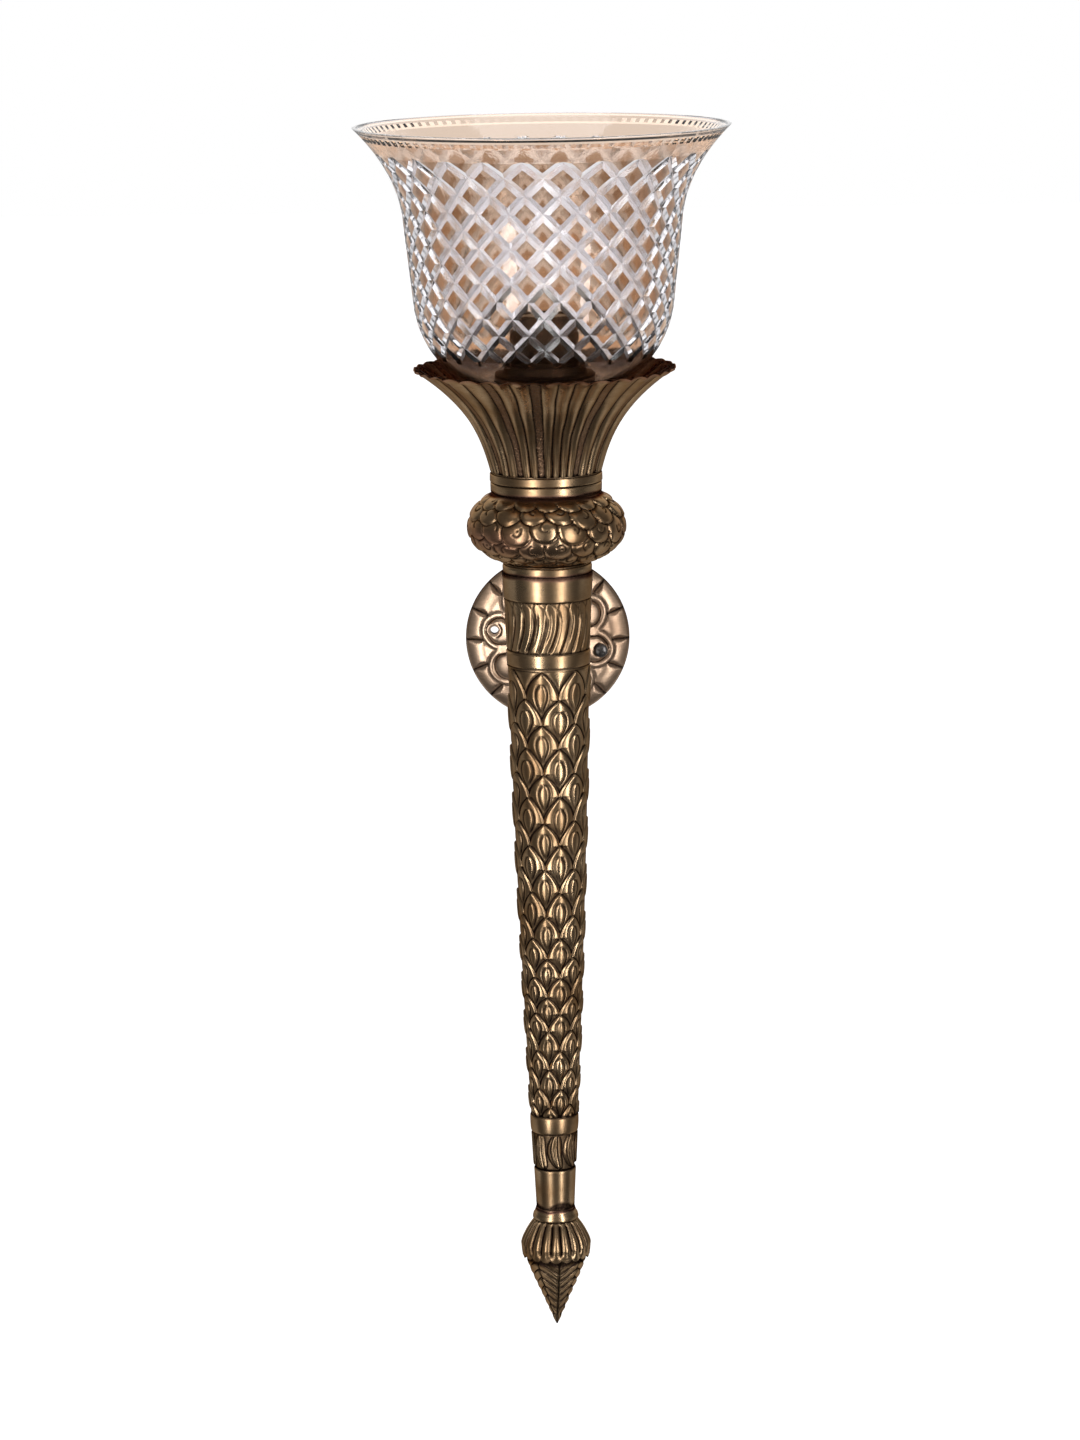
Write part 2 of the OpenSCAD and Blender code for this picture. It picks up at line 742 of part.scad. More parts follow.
bracket_reach = 6;
bracket_bend_r = 15;
bracket_slope_run = 6;
bracket_low = 6;

// Side of one wing of the bracket: brazed into the ring, it steps back to run behind a screw hole
wing_inset = 0.1;
wing_t = bracket_t - 2 * wing_inset;
wing_side = let (high = inner_flat_y - wing_inset, far = finger_out + bracket_reach,
                 low_r = bracket_bend_r + bracket_slope_run) [
    [bracket_lap, high], [bracket_bend_r, high], [low_r, bracket_low], [far, bracket_low],
    [far, bracket_low - wing_t], [low_r - wing_t, bracket_low - wing_t],
    [bracket_bend_r - wing_t, high - wing_t], [bracket_lap, high - wing_t]];

// Bracket clamped under the arm's washer: two wings that take the wall screws, so the sheet isn't
// crushed, and a strip that steps back to carry the terminal block
module terminal_bracket() {
    ring_back = inner_flat_y - bracket_t;
    step_z = block_top + bracket_t / 2;
    low_z = block_top - block_h + 1;
    color("silver") {
        for (a = [finger_phase, finger_phase + 180]) rotate([90, 0, 0]) rotate([0, 0, a])
            difference() {
                translate([0, bracket_w / 2, 0]) rotate([90, 0, 0])
                    linear_extrude(bracket_w) polygon(wing_side);
                translate([finger_out, 0, -past])
                    cylinder(d = screw_hole_d, h = plate_depth);
            }
        along_arm(inner_flat_y) tube(bracket_ring_d, arm_hole, bracket_t);
        translate([-bracket_w / 2, 0, 0]) rotate([90, 0, 90]) linear_extrude(bracket_w) polygon([
            [-inner_flat_y, -bracket_lap], [-ring_back, -bracket_lap], [-ring_back, step_z],
            [-block_front, step_z], [-block_front, low_z],
            [-block_front - bracket_t, low_z], [-block_front - bracket_t, step_z - bracket_t],
            [-inner_flat_y, step_z - bracket_t]]);
    }
}

module terminal_block() {
    color("whitesmoke") difference() {
        translate([-block_w / 2, -block_front, block_top - block_h])
            cube([block_w, block_front - block_back, block_h]);
        for (i = [-1:1]) {
            translate([i * block_pitch, -wire_entry_y, block_top - block_h - past])
                cylinder(d = wire_d + 4 * slip, h = block_h + 2 * past);
            for (z = [0.27, 0.73])
                translate([i * block_pitch, -wire_entry_y, block_top - block_h * z])
                    rotate([-90, 0, 0]) cylinder(d = block_screw_d, h = wire_entry_y);
        }
    }
}

// ---------- finial ----------

spigot_h = 10;
skirt_h = 2;
skirt_wall = 0.8;
bulb_foot_r = bulb_d * 0.47;
bulb_neck_r = shaft_end_d / 2 + 1;

// Brazed collar between the shaft's tail and the bulb
module finial_collar() {
    bead = 0.6;
    color("dimgray") at_torch() difference() {
        rotate_extrude() polygon([[0, z_bulb], [bulb_neck_r, z_bulb], [bulb_neck_r + bead, z_bulb + bead],
            [bulb_neck_r + bead / 2, z_end - bead], [bulb_neck_r - bead, z_end], [0, z_end]]);
        translate([0, 0, z_bulb - past])
            cylinder(r = spigot_r + slip, h = finial_collar_h + 2 * past);
    }
}

spigot_r = shaft_r(z_end) - sheet - slip;
rib_samples = 4;
bulb_points = bulb_ribs * rib_samples;

// Outside of the bulb from its neck down to its skirt, without ribs
function bulb_curve() = let (r = bulb_d / 2) concat(
    [[bulb_neck_r, z_bulb], [bulb_neck_r + 0.9, z_bulb - 1.2], [bulb_neck_r + 0.9, z_bulb - 3]],
    bezier([bulb_neck_r + 0.6, z_bulb - 3.6], [r * 0.74, z_bulb - bulb_h * 0.24],
           [r * 0.98, z_bulb - bulb_h * 0.5], [r * 0.98, z_bulb - bulb_h * 0.74], 6),
    [[mix(bulb_foot_r, r, 0.45), z_bulb - bulb_h * 0.88]]);

// Rib relief: full at the bulb's middle and none at its neck
function rib_share(i) = i < 4 ? 0 : 1;
rib_form = [-0.7, 0.1, 0.3, 0.1];

function bulb_ring(r, z, relief, fall) = [for (j = [0:bulb_points - 1])
    let (a = -360 * j / bulb_points, q = r + relief * rib_form[j % rib_samples])
    [q * cos(a), q * sin(a), z - fall * (rib_form[j % rib_samples] + 0.7)]];

// Ribbed bulb with a toothed skirt over the point, and a spigot that goes up into the shaft
module finial_bulb() {
    curve = bulb_curve();
    inner_r = bulb_foot_r - skirt_wall;
    color("darkgoldenrod") at_torch() {
        loft(concat(
            [for (i = [0:len(curve) - 1]) bulb_ring(curve[i][0], curve[i][1], rib_share(i), 0)],
            [bulb_ring(bulb_foot_r, z_point + 1, 0.5, skirt_h),
             bulb_ring(inner_r, z_point + 1, 0, skirt_h),
             bulb_ring(inner_r, z_point + skirt_h, 0, 0)]));
        translate([0, 0, z_bulb - past])
            cylinder(r = spigot_r, h = finial_collar_h + spigot_h + past);
    }
}

spear_samples = 12;

// Share of the point's radius round one of its four leaves: a vein groove, then swelling to the edge
spear_form = [0.9, 0.97, 1, 0.99, 0.97, 0.94, 0.9, 0.94, 0.97, 0.99, 1, 0.97];

// Point of four leaves that tapers to a blunt tip
module finial_spear() {
    top_r = bulb_foot_r - skirt_wall - slip;
    top_z = z_point + skirt_h;
    tip_r = 0.5;
    leaf_swell = 1.2;
    root_h = 1;
    heights = [0, 0.1, 0.2, 0.35, 0.5, 0.65, 0.8, 0.92, 1];
    color("darkgoldenrod") at_torch() rotate([0, 0, -90]) loft(concat(
        [[for (j = [0:4 * spear_samples - 1]) let (a = -90 * j / spear_samples)
            [top_r * cos(a), top_r * sin(a), top_z]]],
        [for (t = heights) let (r = mix(top_r, tip_r, t) + leaf_swell * sin(180 * t) * (1 - t))
            [for (j = [0:4 * spear_samples - 1])
                let (a = -90 * j / spear_samples, vein = min(1, 6 * t),
                     q = r * mix(1, spear_form[j % spear_samples], vein))
                [q * cos(a), q * sin(a), z_point - root_h - (spear_h - root_h) * t]]]));
}

// ---------- wires ----------

// Smooth curve through the points
function through(p, n) = concat([for (i = [0:len(p) - 2]) for (s = [0:n - 1])
    let (t = s / n, a = p[max(i - 1, 0)], b = p[i], c = p[i + 1], d = p[min(i + 2, len(p) - 1)])
    b + t / 2 * ((c - a) + t * ((2 * a - 5 * b + 4 * c - d) + t * (3 * b - 3 * c + d - a)))],
    [p[len(p) - 1]]);

module wire(route) {
    path = through(route, 2);
    sides = 6;
    loft([for (i = [0:len(path) - 1])
        let (t = heading(path, i), u = unit(cross(t, [1, 0, 0])), v = cross(t, u))
        [for (j = [0:sides - 1]) let (a = 360 * j / sides)
            path[i] + wire_d / 2 * (cos(a) * u + sin(a) * v)]]);
}

// Way of a wire along the arm, out behind the plate and down to its place x in the terminal block
function arm_way(side, lift, x) = [
    [side, -shaft_inner_y - 5, lift], [side, -shaft_back_y, lift], [side, -reach / 2, lift],
    [side, -plate_depth, lift], [side, -inner_flat_y + 4, lift],
    [mix(side, x, 0.15), -wire_entry_y - 0.4, lift - 1.2],
    [mix(side, x, 0.5), -2.6, -5], [mix(side, x, 0.85), -2.6, -9],
    [x, -wire_entry_y + 0.6, block_top + 1.2], [x, -wire_entry_y, block_top - 2],
    [x, -wire_entry_y, block_top - 5]];

// Way of a wire from its terminal down the stud and round into the arm
function lamp_way(side) = [
    [side * terminal_x, -reach, z_cap_top - terminal_size[2] + 3],
    [side * terminal_x, -reach, z_cap_top - terminal_size[2] - 1],
    [side * mix(core_x, terminal_x, 0.5), -reach, stud_high + 4],
    [side * core_x, -reach, stud_high], [side * core_x, -reach, z_knob],
    [side * core_x, -reach, z_neck], [side * core_x, -reach, stud_low],
    [side * core_x, -reach, 16], [side * core_x, -reach + 3, 5]];

core_x = wire_d * 0.65;
core_lift = 0.7;

module wire_live() {
    color("saddlebrown") wire(concat(lamp_way(-1), arm_way(-core_x, core_lift, -block_pitch)));
}

module wire_neutral() {
    color("royalblue") wire(concat(lamp_way(1), arm_way(core_x, core_lift, block_pitch)));
}

module wire_earth() {
    color("yellowgreen") wire(concat(
        [[0, -reach - 12, z_tag], [0, -reach - 12, z_tag - 8], [0, -reach - 11, 20],
         [0, -reach - 7, 5], [0, -reach + 1, -1.2]], arm_way(0, -core_lift * 2, 0)));
}

wall_plate();
terminal_bracket();
terminal_block();
arm_tube();
arm_rosette();
arm_back_washer();
arm_back_nut();
arm_saddle();
arm_inner_saddle();
arm_inner_nut();
shaft();
neck_ring();
stud_washer();
earth_tag();
stud_nut();
knob();
cup_ring();
cup();
through_stud();
stem();
gallery();
gasket();
holder_cap();
holder_insulator();
holder_shell();
holder_liner();
screw_shell();
centre_contact();
terminals();
glass_shade();
fibre_washer();
shade_ring();
finial_collar();
finial_bulb();
finial_spear();
wire_live();
wire_neutral();
wire_earth();
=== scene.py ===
"""Looks of the torch sconce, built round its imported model.

Sizes in the classes are millimetres. Heights are measured from the middle of the wall plate. Turns round
the torch are degrees from the front, growing to the right; turns on the wall plate are degrees from the
right, growing upwards.
"""
import logging
import math
from collections.abc import Callable
from dataclasses import dataclass, field
from enum import Enum

import bmesh
import bpy
import numpy as np
from mathutils import Matrix, Vector


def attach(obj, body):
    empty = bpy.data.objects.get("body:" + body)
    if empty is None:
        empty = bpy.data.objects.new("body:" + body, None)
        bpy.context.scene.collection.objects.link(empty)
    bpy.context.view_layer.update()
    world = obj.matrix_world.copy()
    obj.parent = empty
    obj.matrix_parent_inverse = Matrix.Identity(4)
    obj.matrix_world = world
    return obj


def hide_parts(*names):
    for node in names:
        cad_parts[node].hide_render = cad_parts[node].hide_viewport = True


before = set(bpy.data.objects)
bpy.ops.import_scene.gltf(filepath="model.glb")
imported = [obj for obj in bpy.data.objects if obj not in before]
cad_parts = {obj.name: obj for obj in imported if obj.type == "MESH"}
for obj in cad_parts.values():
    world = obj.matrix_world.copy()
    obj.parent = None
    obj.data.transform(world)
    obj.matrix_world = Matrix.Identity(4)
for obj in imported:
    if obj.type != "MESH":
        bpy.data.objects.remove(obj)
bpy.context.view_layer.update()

LOG = logging.getLogger("sconce")
MM = 0.001
AXIS_Y = -130.0
WELD = 0.002
Path = list[tuple[float, float]]
Field = np.ndarray


def mix(a: float, b: float, t: float) -> float:
    """Returns the value a share t of the way from a to b."""
    return a + (b - a) * t


def bezier(a: tuple, b: tuple, c: tuple, d: tuple, count: int) -> Path:
    """Samples a cubic curve.

    Args:
        a, b, c, d: its four guide points.
        count: how many steps it is cut into.

    Returns:
        count + 1 points from a to d.
    """
    t = np.linspace(0, 1, count + 1)[:, None]
    guides = [np.array(p, float) for p in (a, b, c, d)]
    shares = ((1 - t) ** 3, 3 * t * (1 - t) ** 2, 3 * t * t * (1 - t), t ** 3)
    return [tuple(p) for p in sum(s * g for s, g in zip(shares, guides))]


def run_of(points: Field) -> Field:
    """Returns how far along a path each of its points lies."""
    return np.concatenate([[0], np.cumsum(np.hypot(*np.diff(points, axis=0).T))])


def heading_of(points: Field) -> Field:
    """Returns the way a path goes at each of its points, as vectors of length 1."""
    lean = np.gradient(points, axis=0)
    return lean / np.maximum(np.hypot(lean[:, 0], lean[:, 1]), 1e-9)[:, None]


def points_at(points: Field, stops: Field | list[float]) -> Path:
    """Returns the points that lie the given lengths along a path."""
    run = run_of(points)
    return [(float(np.interp(s, run, points[:, 0])), float(np.interp(s, run, points[:, 1]))) for s in stops]


def resample(path: Path, step: float) -> Path:
    """Cuts a path into even steps, keeping its ends.

    Args:
        path: its points.
        step: about how long a step is.

    Returns:
        The new points.
    """
    points = np.array(path, float)
    length = run_of(points)[-1]
    return points_at(points, np.linspace(0, length, max(2, round(length / step) + 1)))


def wall_of(path: Path, thickness: float) -> Path:
    """Offsets a path to its left, which is inwards for one that climbs.

    Args:
        path: its points.
        thickness: how far it is offset.

    Returns:
        The offset points, none of them past the path's own heights.
    """
    points = np.array(path, float)
    lean = heading_of(points)
    moved = points + thickness * np.column_stack([-lean[:, 1], lean[:, 0]])
    low, high = points[:, 1].min(), points[:, 1].max()
    moved[:, 1] = np.clip(moved[:, 1], low, high)
    moved[0, 1], moved[-1, 1] = points[0, 1], points[-1, 1]
    return [tuple(p) for p in moved]


def ease(x: Field, low: float, high: float) -> Field:
    """Rises smoothly from 0 at low to 1 at high."""
    t = np.clip((x - low) / (high - low), 0, 1)
    return t * t * (3 - 2 * t)


def line(distance: Field, width: float) -> Field:
    """A soft line, 1 in its middle, that fades out about its width away."""
    return np.exp(-(distance / width) ** 2)


def chance(*numbers: Field, seed: float = 0.0) -> Field:
    """A fixed number from 0 to 1 that looks random, for each set of whole numbers."""
    total = sum(n * k for n, k in zip(numbers, (12.9898, 78.233, 37.719)))
    return np.modf(np.abs(np.sin(total + seed * 4.231) * 43758.5453))[0]


def wander(turn: Field, height: Field, seed: float, reach: float) -> Field:
    """A slow uneven drift over a turned skin, as a hand leaves it. It closes round the turn.

    Args:
        turn: degrees round.
        height: mm up.
        seed: picks one drift from another.
        reach: the most it drifts, about.

    Returns:
        The drift at each point.
    """
    a = np.radians(turn)
    total = np.sin(2 * a + height * 0.071 + seed) + np.sin(5 * a - height * 0.113 + 2.3 * seed)
    return reach * 0.4 * (total + 0.7 * np.sin(9 * a + height * 0.19 + 4.1 * seed))


def mesh_of(shape: bmesh.types.BMesh, name: str) -> bpy.types.Mesh:
    """Turns a bmesh into a mesh and frees it.

    Args:
        shape: the bmesh.
        name: the mesh's name.

    Returns:
        The mesh.
    """
    mesh = bpy.data.meshes.new(name)
    shape.to_mesh(mesh)
    shape.free()
    return mesh


def set_out(name: str, data: bpy.types.ID) -> bpy.types.Object:
    """Puts a mesh, a lamp or a camera in the scene.

    Args:
        name: the object's name.
        data: what it holds.

    Returns:
        The object.
    """
    thing = bpy.data.objects.new(name, data)
    bpy.context.scene.collection.objects.link(thing)
    return thing


def smooth(mesh: bpy.types.Mesh, crease: float) -> None:
    """Shades a mesh smooth, apart from edges sharper than the given degrees."""
    mesh.shade_smooth()
    mesh.set_sharp_from_angle(angle=math.radians(crease))


def cut_away(piece: bpy.types.Object, shape: bmesh.types.BMesh, crossing: bool = False) -> None:
    """Cuts a shape out of a piece.

    Args:
        piece: what is cut.
        shape: the space that is taken out; it is used up.
        crossing: whether the shape's parts pass through each other.
    """
    cutter = set_out("cutter", mesh_of(shape, "cutter"))
    tool = piece.modifiers.new("cut", "BOOLEAN")
    tool.operation, tool.object, tool.solver, tool.use_self = "DIFFERENCE", cutter, "EXACT", crossing
    bpy.context.view_layer.update()
    cut = bpy.data.meshes.new_from_object(piece.evaluated_get(bpy.context.evaluated_depsgraph_get()))
    piece.modifiers.clear()
    piece.data = cut
    bpy.data.objects.remove(cutter)


@dataclass(frozen=True)
class Spots:
    """Where the points of a turned skin lie.

    Attributes:
        turn: degrees round.
        run: how far along the outline.
        radius: how far from the middle.
        height: how high, or how far off the wall.
        skin: 1 on the chased side and -1 on the other.
    """

    turn: Field
    run: Field
    radius: Field
    height: Field
    skin: Field


@dataclass
class Chasing:
    """What a relief does at each point.

    Attributes:
        rise: how far it rises off the outline.
        tarnish_and_shade: how dark it is, from patina in its recesses and from painted shade.
        copper: how much reddish copper shows.
        drop: how far it moves up.
        stipple: how deeply it is stippled.
    """

    rise: Field
    tarnish_and_shade: Field
    copper: Field | None = None
    drop: Field | None = None
    stipple: Field | None = None


Relief = Callable[[Spots], Chasing]


class Spindle(Enum):
    """What a piece is turned about."""

    TORCH = "torch"
    WALL = "wall"


@dataclass
class Turning:
    """A closed outline turned into a skin, with a relief chased into it.

    Attributes:
        name: the piece's name.
        outside: (radius, height) along the chased skin, from its foot upwards.
        inside: the rest of the outline, from the top back down to the foot.
        columns: how many steps the turn has.
        spindle: what it is turned about.
        through: whether the relief goes through the sheet to the inside as well.
        relief: what is chased into it.
        crease: the angle in degrees past which an edge is sharp.
    """

    name: str
    outside: Path
    inside: Path
    columns: int
    spindle: Spindle = Spindle.TORCH
    through: bool = False
    relief: Relief | None = None
    crease: float = 40.0

    def build(self) -> bpy.types.Object:
        """Spins the outline round in two stages, first one sector and then copies of it, and chases it.

        Returns:
            The finished piece.
        """
        torch = self.spindle is Spindle.TORCH
        centre, axis = (0, AXIS_Y if torch else 0, 0), (0, 0, 1) if torch else (0, 1, 0)
        shape = bmesh.new()
        station = shape.verts.layers.float.new("station")
        outline = self.outside + self.inside
        verts = []
        for number, (radius, height) in enumerate(outline):
            vert = shape.verts.new((0, AXIS_Y - radius, height) if torch else (radius, -height, 0))
            vert[station] = number
            verts.append(vert)
        for one, other in zip(verts, verts[1:] + verts[:1]):
            shape.edges.new((one, other))
        slices = max(n for n in range(1, int(self.columns ** 0.5) + 1) if self.columns % n == 0)
        sectors = self.columns // slices
        bmesh.ops.spin(shape, geom=verts + list(shape.edges), cent=centre, axis=axis, angle=math.tau / sectors,
                       steps=slices)
        bmesh.ops.spin(shape, geom=shape.verts[:] + shape.edges[:] + shape.faces[:], cent=centre, axis=axis,
                       angle=math.tau * (sectors - 1) / sectors, steps=sectors - 1, use_duplicate=True)
        bmesh.ops.remove_doubles(shape, verts=shape.verts, dist=WELD)
        bmesh.ops.recalc_face_normals(shape, faces=shape.faces)
        mesh = mesh_of(shape, self.name)
        if self.relief:
            self.chase(mesh)
        mesh.transform(Matrix.Scale(MM, 4))
        smooth(mesh, self.crease)
        return set_out(self.name, mesh)

    def chase(self, mesh: bpy.types.Mesh) -> None:
        """Moves the points by the relief and keeps its stains as attributes.

        Args:
            mesh: the plain turned skin, in mm.
        """
        points = np.zeros(len(mesh.vertices) * 3)
        mesh.vertices.foreach_get("co", points)
        points = points.reshape(-1, 3)
        station = np.zeros(len(points))
        mesh.attributes["station"].data.foreach_get("value", station)
        station = np.rint(station).astype(int)
        lean = np.vstack([heading_of(np.array(part, float)) for part in (self.outside, self.inside)])
        run = run_of(np.array(self.outside + self.inside, float))
        torch = self.spindle is Spindle.TORCH
        if torch:
            turn = np.degrees(np.arctan2(points[:, 0], AXIS_Y - points[:, 1]))
            radius, height = np.hypot(points[:, 0], points[:, 1] - AXIS_Y), points[:, 2]
        else:
            turn = np.degrees(np.arctan2(points[:, 2], points[:, 0]))
            radius, height = np.hypot(points[:, 0], points[:, 2]), -points[:, 1]
        skin = np.where(station < len(self.outside), 1.0, -1.0)
        chased = self.relief(Spots(turn, run[station], radius, height, skin))
        share = np.where(skin > 0, 1.0, -1.0 if self.through else 0.0)
        out, up = lean[station, 1] * share, -lean[station, 0] * share
        radius = radius + out * chased.rise
        height = height + up * chased.rise + (0 if chased.drop is None else chased.drop)
        a = np.radians(turn)
        if torch:
            points = np.column_stack([radius * np.sin(a), AXIS_Y - radius * np.cos(a), height])
        else:
            points = np.column_stack([radius * np.cos(a), -np.maximum(height, 0), radius * np.sin(a)])
        mesh.vertices.foreach_set("co", points.ravel())
        for name in ("tarnish_and_shade", "copper", "stipple"):
            values = getattr(chased, name)
            if values is not None:
                layer = mesh.attributes.new(name, "FLOAT", "POINT")
                layer.data.foreach_set("value", np.clip(values, 0, 1).astype(np.float32))
        mesh.update()


def sheet_of(outside: Path, thickness: float, every: int = 1) -> Path:
    """Returns the inner side of a sheet, from its top back down, with only every so many points kept."""
    inner = wall_of(outside, thickness)[::-1]
    return inner[:1] + inner[1:-1][::every] + inner[-1:]


def install(piece: bpy.types.Object, finish: "Finish", body: str, stands_for: list[str]) -> None:
    """Gives a piece its finish, its body and the nodes that it stands for.

    Args:
        piece: the finished piece.
        finish: its finish.
        body: the body it moves with.
        stands_for: the CAD nodes it replaces.
    """
    piece.data.materials.clear()
    piece.data.materials.append(finish.material())
    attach(piece, body)
    if stands_for:
        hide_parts(*stands_for)
    LOG.info("%s: %d points, %d faces", piece.name, len(piece.data.vertices), len(piece.data.polygons))


class NodeBench:
    """Sets out and joins the nodes of one material or of the world."""

    def __init__(self, tree: bpy.types.NodeTree) -> None:
        """Empties the tree and starts on it."""
        self.tree = tree
        tree.nodes.clear()

    def add(self, kind: str, inputs: dict | None = None, **settings: object) -> bpy.types.Node:
        """Adds a node.

        Args:
            kind: its type, without the words ShaderNode.
            inputs: a value, or an output socket to link, for each named or numbered input.
            **settings: the node's own settings.

        Returns:
            The node.
        """
        node = self.tree.nodes.new("ShaderNode" + kind)
        for name, value in settings.items():
            setattr(node, name, value)
        self.feed(node, inputs or {})
        return node

    def feed(self, node: bpy.types.Node, inputs: dict) -> None:
        """Gives a node's inputs their values, or links them to output sockets."""
        for name, value in inputs.items():
            if isinstance(value, bpy.types.NodeSocket):
                self.tree.links.new(value, node.inputs[name])
            else:
                node.inputs[name].default_value = value

    def read(self, name: str) -> bpy.types.NodeSocket:
        """Reads one of the piece's own attributes."""
        return self.add("Attribute", attribute_name=name).outputs["Fac"]

    def bump(self, strength: float, distance: float, height: bpy.types.NodeSocket) -> bpy.types.NodeSocket:
        """Turns a height into a bumped normal."""
        return self.add("Bump", {"Strength": strength, "Distance": distance, "Height": height}).outputs[0]

    def sum(self, how: str, a: object, b: object = 0.0, c: object = 0.0) -> bpy.types.NodeSocket:
        """Joins numbers by one step of arithmetic and returns the result."""
        return self.add("Math", {0: a, 1: b, 2: c}, operation=how).outputs[0]

    def blend(self, share: object, a: object, b: object, mode: str = "MIX") -> bpy.types.NodeSocket:
        """Blends two colours and returns the result."""
        node = self.add("Mix", {0: share, 6: a, 7: b}, data_type="RGBA", blend_type=mode)
        return node.outputs[2]

    def range(self, value: object, low: float, high: float, to_low: float = 0,
              to_high: object = 1) -> bpy.types.NodeSocket:
        """Stretches a number from one range to another, held at its ends."""
        return self.add("MapRange", {0: value, 1: low, 2: high, 3: to_low, 4: to_high}).outputs[0]

    def cloud(self, scale: tuple | float, detail: float = 3.0, rough: float = 0.55) -> bpy.types.NodeSocket:
        """Makes soft noise on the piece's own coordinates.

        Args:
            scale: how fine it is, the same all ways or apart along x, y and z.
            detail: how many finer layers it has.
            rough: how strong they are.

        Returns:
            The noise.
        """
        sizes = scale if isinstance(scale, tuple) else (scale,) * 3
        place = self.add("TexCoord").outputs["Object"]
        spread = self.add("Mapping", {"Vector": place, "Scale": sizes})
        return self.add("TexNoise", {"Vector": spread.outputs[0], "Scale": 1.0, "Detail": detail,
                                     "Roughness": rough}).outputs[0]


@dataclass(frozen=True)
class Finish:
    """What every finish has: a name, and a material made once."""

    name: str

    def material(self) -> bpy.types.Material:
        """Makes the finish's material the first time it is asked for.

        Returns:
            The material.
        """
        found = bpy.data.materials.get(self.name)
        if found:
            return found
        made = bpy.data.materials.new(self.name)
        made.use_nodes = True
        bench = NodeBench(made.node_tree)
        shader = bench.add("BsdfPrincipled")
        self.dress(bench, shader)
        bench.add("OutputMaterial", {"Surface": shader.outputs[0]})
        return made

    def dress(self, bench: NodeBench, shader: bpy.types.Node) -> None:
        """Sets up the shader; each kind of finish has its own.

        Args:
            bench: the bench of the material's nodes.
            shader: its shader.
        """
        raise NotImplementedError


@dataclass(frozen=True)
class BrassFinish(Finish):
    """Satin brass, aged dark in its recesses, and darkened where a piece paints shade.

    Attributes:
        bright: its colour where it is rubbed.
        dull: its colour where it has aged.
        recess: the colour of its dark lines and of its painted shade.
        copper: the colour of its copper stains.
        edge, dark_edge: the tint of its grazing reflections where it is bright, and in dark lines.
        rough: its mean roughness.
        stain: how much reddish copper shows where the piece says so.
        pits: how deep the punched stippling is.
    """

    bright: tuple = (0.44, 0.305, 0.18)
    dull: tuple = (0.25, 0.15, 0.076)
    recess: tuple = (0.015, 0.008, 0.006)
    copper: tuple = (0.36, 0.18, 0.13)
    edge: tuple = (0.6, 0.48, 0.4)
    dark_edge: tuple = (0.12, 0.09, 0.08)
    rough: float = 0.29
    stain: float = 1.0
    pits: float = 1.0

    def dress(self, bench: NodeBench, shader: bpy.types.Node) -> None:
        """Mixes patches of patina, dark recesses with painted shade, copper stains and fine brushing round the torch.

        Args:
            bench: the bench of the material's nodes.
            shader: its shader.
        """
        tarnish_and_shade, copper, stipple = bench.read("tarnish_and_shade"), bench.read("copper"), bench.read("stipple")
        patches = bench.cloud(38.0, 4)
        brushing = bench.cloud((240.0, 240.0, 2600.0), 3, 0.6)
        fine = bench.cloud(750.0, 2)
        tone = bench.blend(bench.range(patches, 0.35, 0.68), (*self.bright, 1), (*self.dull, 1))
        red = bench.blend(bench.sum("MULTIPLY", copper, self.stain), tone, (*self.copper, 1))
        streaks = bench.range(brushing, 0.3, 0.7, 0.86, 1.1)
        streaked = bench.add("VectorMath", {0: red, 1: streaks}, operation="MULTIPLY")
        uneven = bench.range(fine, 0.3, 0.7, -0.12, 0.12)
        # The darkening holds the patina in the recesses and the painted shade that the pieces lay.
        dark = bench.range(bench.sum("ADD", tarnish_and_shade, bench.sum("MULTIPLY", uneven, tarnish_and_shade)), 0.05, 0.9)
        colour = bench.blend(dark, streaked.outputs[0], (*self.recess, 1))
        rough = bench.sum("ADD", bench.range(patches, 0.3, 0.7, self.rough - 0.06, self.rough + 0.07),
                          bench.sum("MULTIPLY", dark, 0.22))
        relief = bench.sum("ADD", bench.sum("MULTIPLY", brushing, 0.04),
                           bench.sum("MULTIPLY", bench.sum("MULTIPLY", fine, stipple), self.pits * 7))
        edge = bench.blend(dark, (*self.edge, 1), (*self.dark_edge, 1))
        bench.feed(shader, {"Base Color": colour, "Roughness": rough, "Specular Tint": edge, "Metallic": 1.0,
                            "Normal": bench.bump(0.4, 0.00025, relief)})


@dataclass(frozen=True)
class SteelFinish(Finish):
    """Grey plated steel with a dull bloom.

    Attributes:
        bright, dull: its two greys.
        recess: the colour of its dark lines.
        rough: its mean roughness.
    """

    bright: tuple = (0.55, 0.55, 0.54)
    dull: tuple = (0.3, 0.3, 0.31)
    recess: tuple = (0.03, 0.03, 0.035)
    rough: float = 0.4

    def dress(self, bench: NodeBench, shader: bpy.types.Node) -> None:
        """Mixes two greys in patches, darker in recesses, with a faint grain.

        Args:
            bench: the bench of the material's nodes.
            shader: its shader.
        """
        patches = bench.cloud(160.0, 4)
        grain = bench.cloud((900.0, 900.0, 300.0), 2)
        tone = bench.blend(bench.range(patches, 0.35, 0.65), (*self.bright, 1), (*self.dull, 1))
        bench.feed(shader, {"Base Color": bench.blend(bench.read("tarnish_and_shade"), tone, (*self.recess, 1)),
                            "Roughness": bench.range(grain, 0.3, 0.7, self.rough - 0.08, self.rough + 0.1),
                            "Normal": bench.bump(0.3, 0.0001, grain), "Metallic": 1.0})


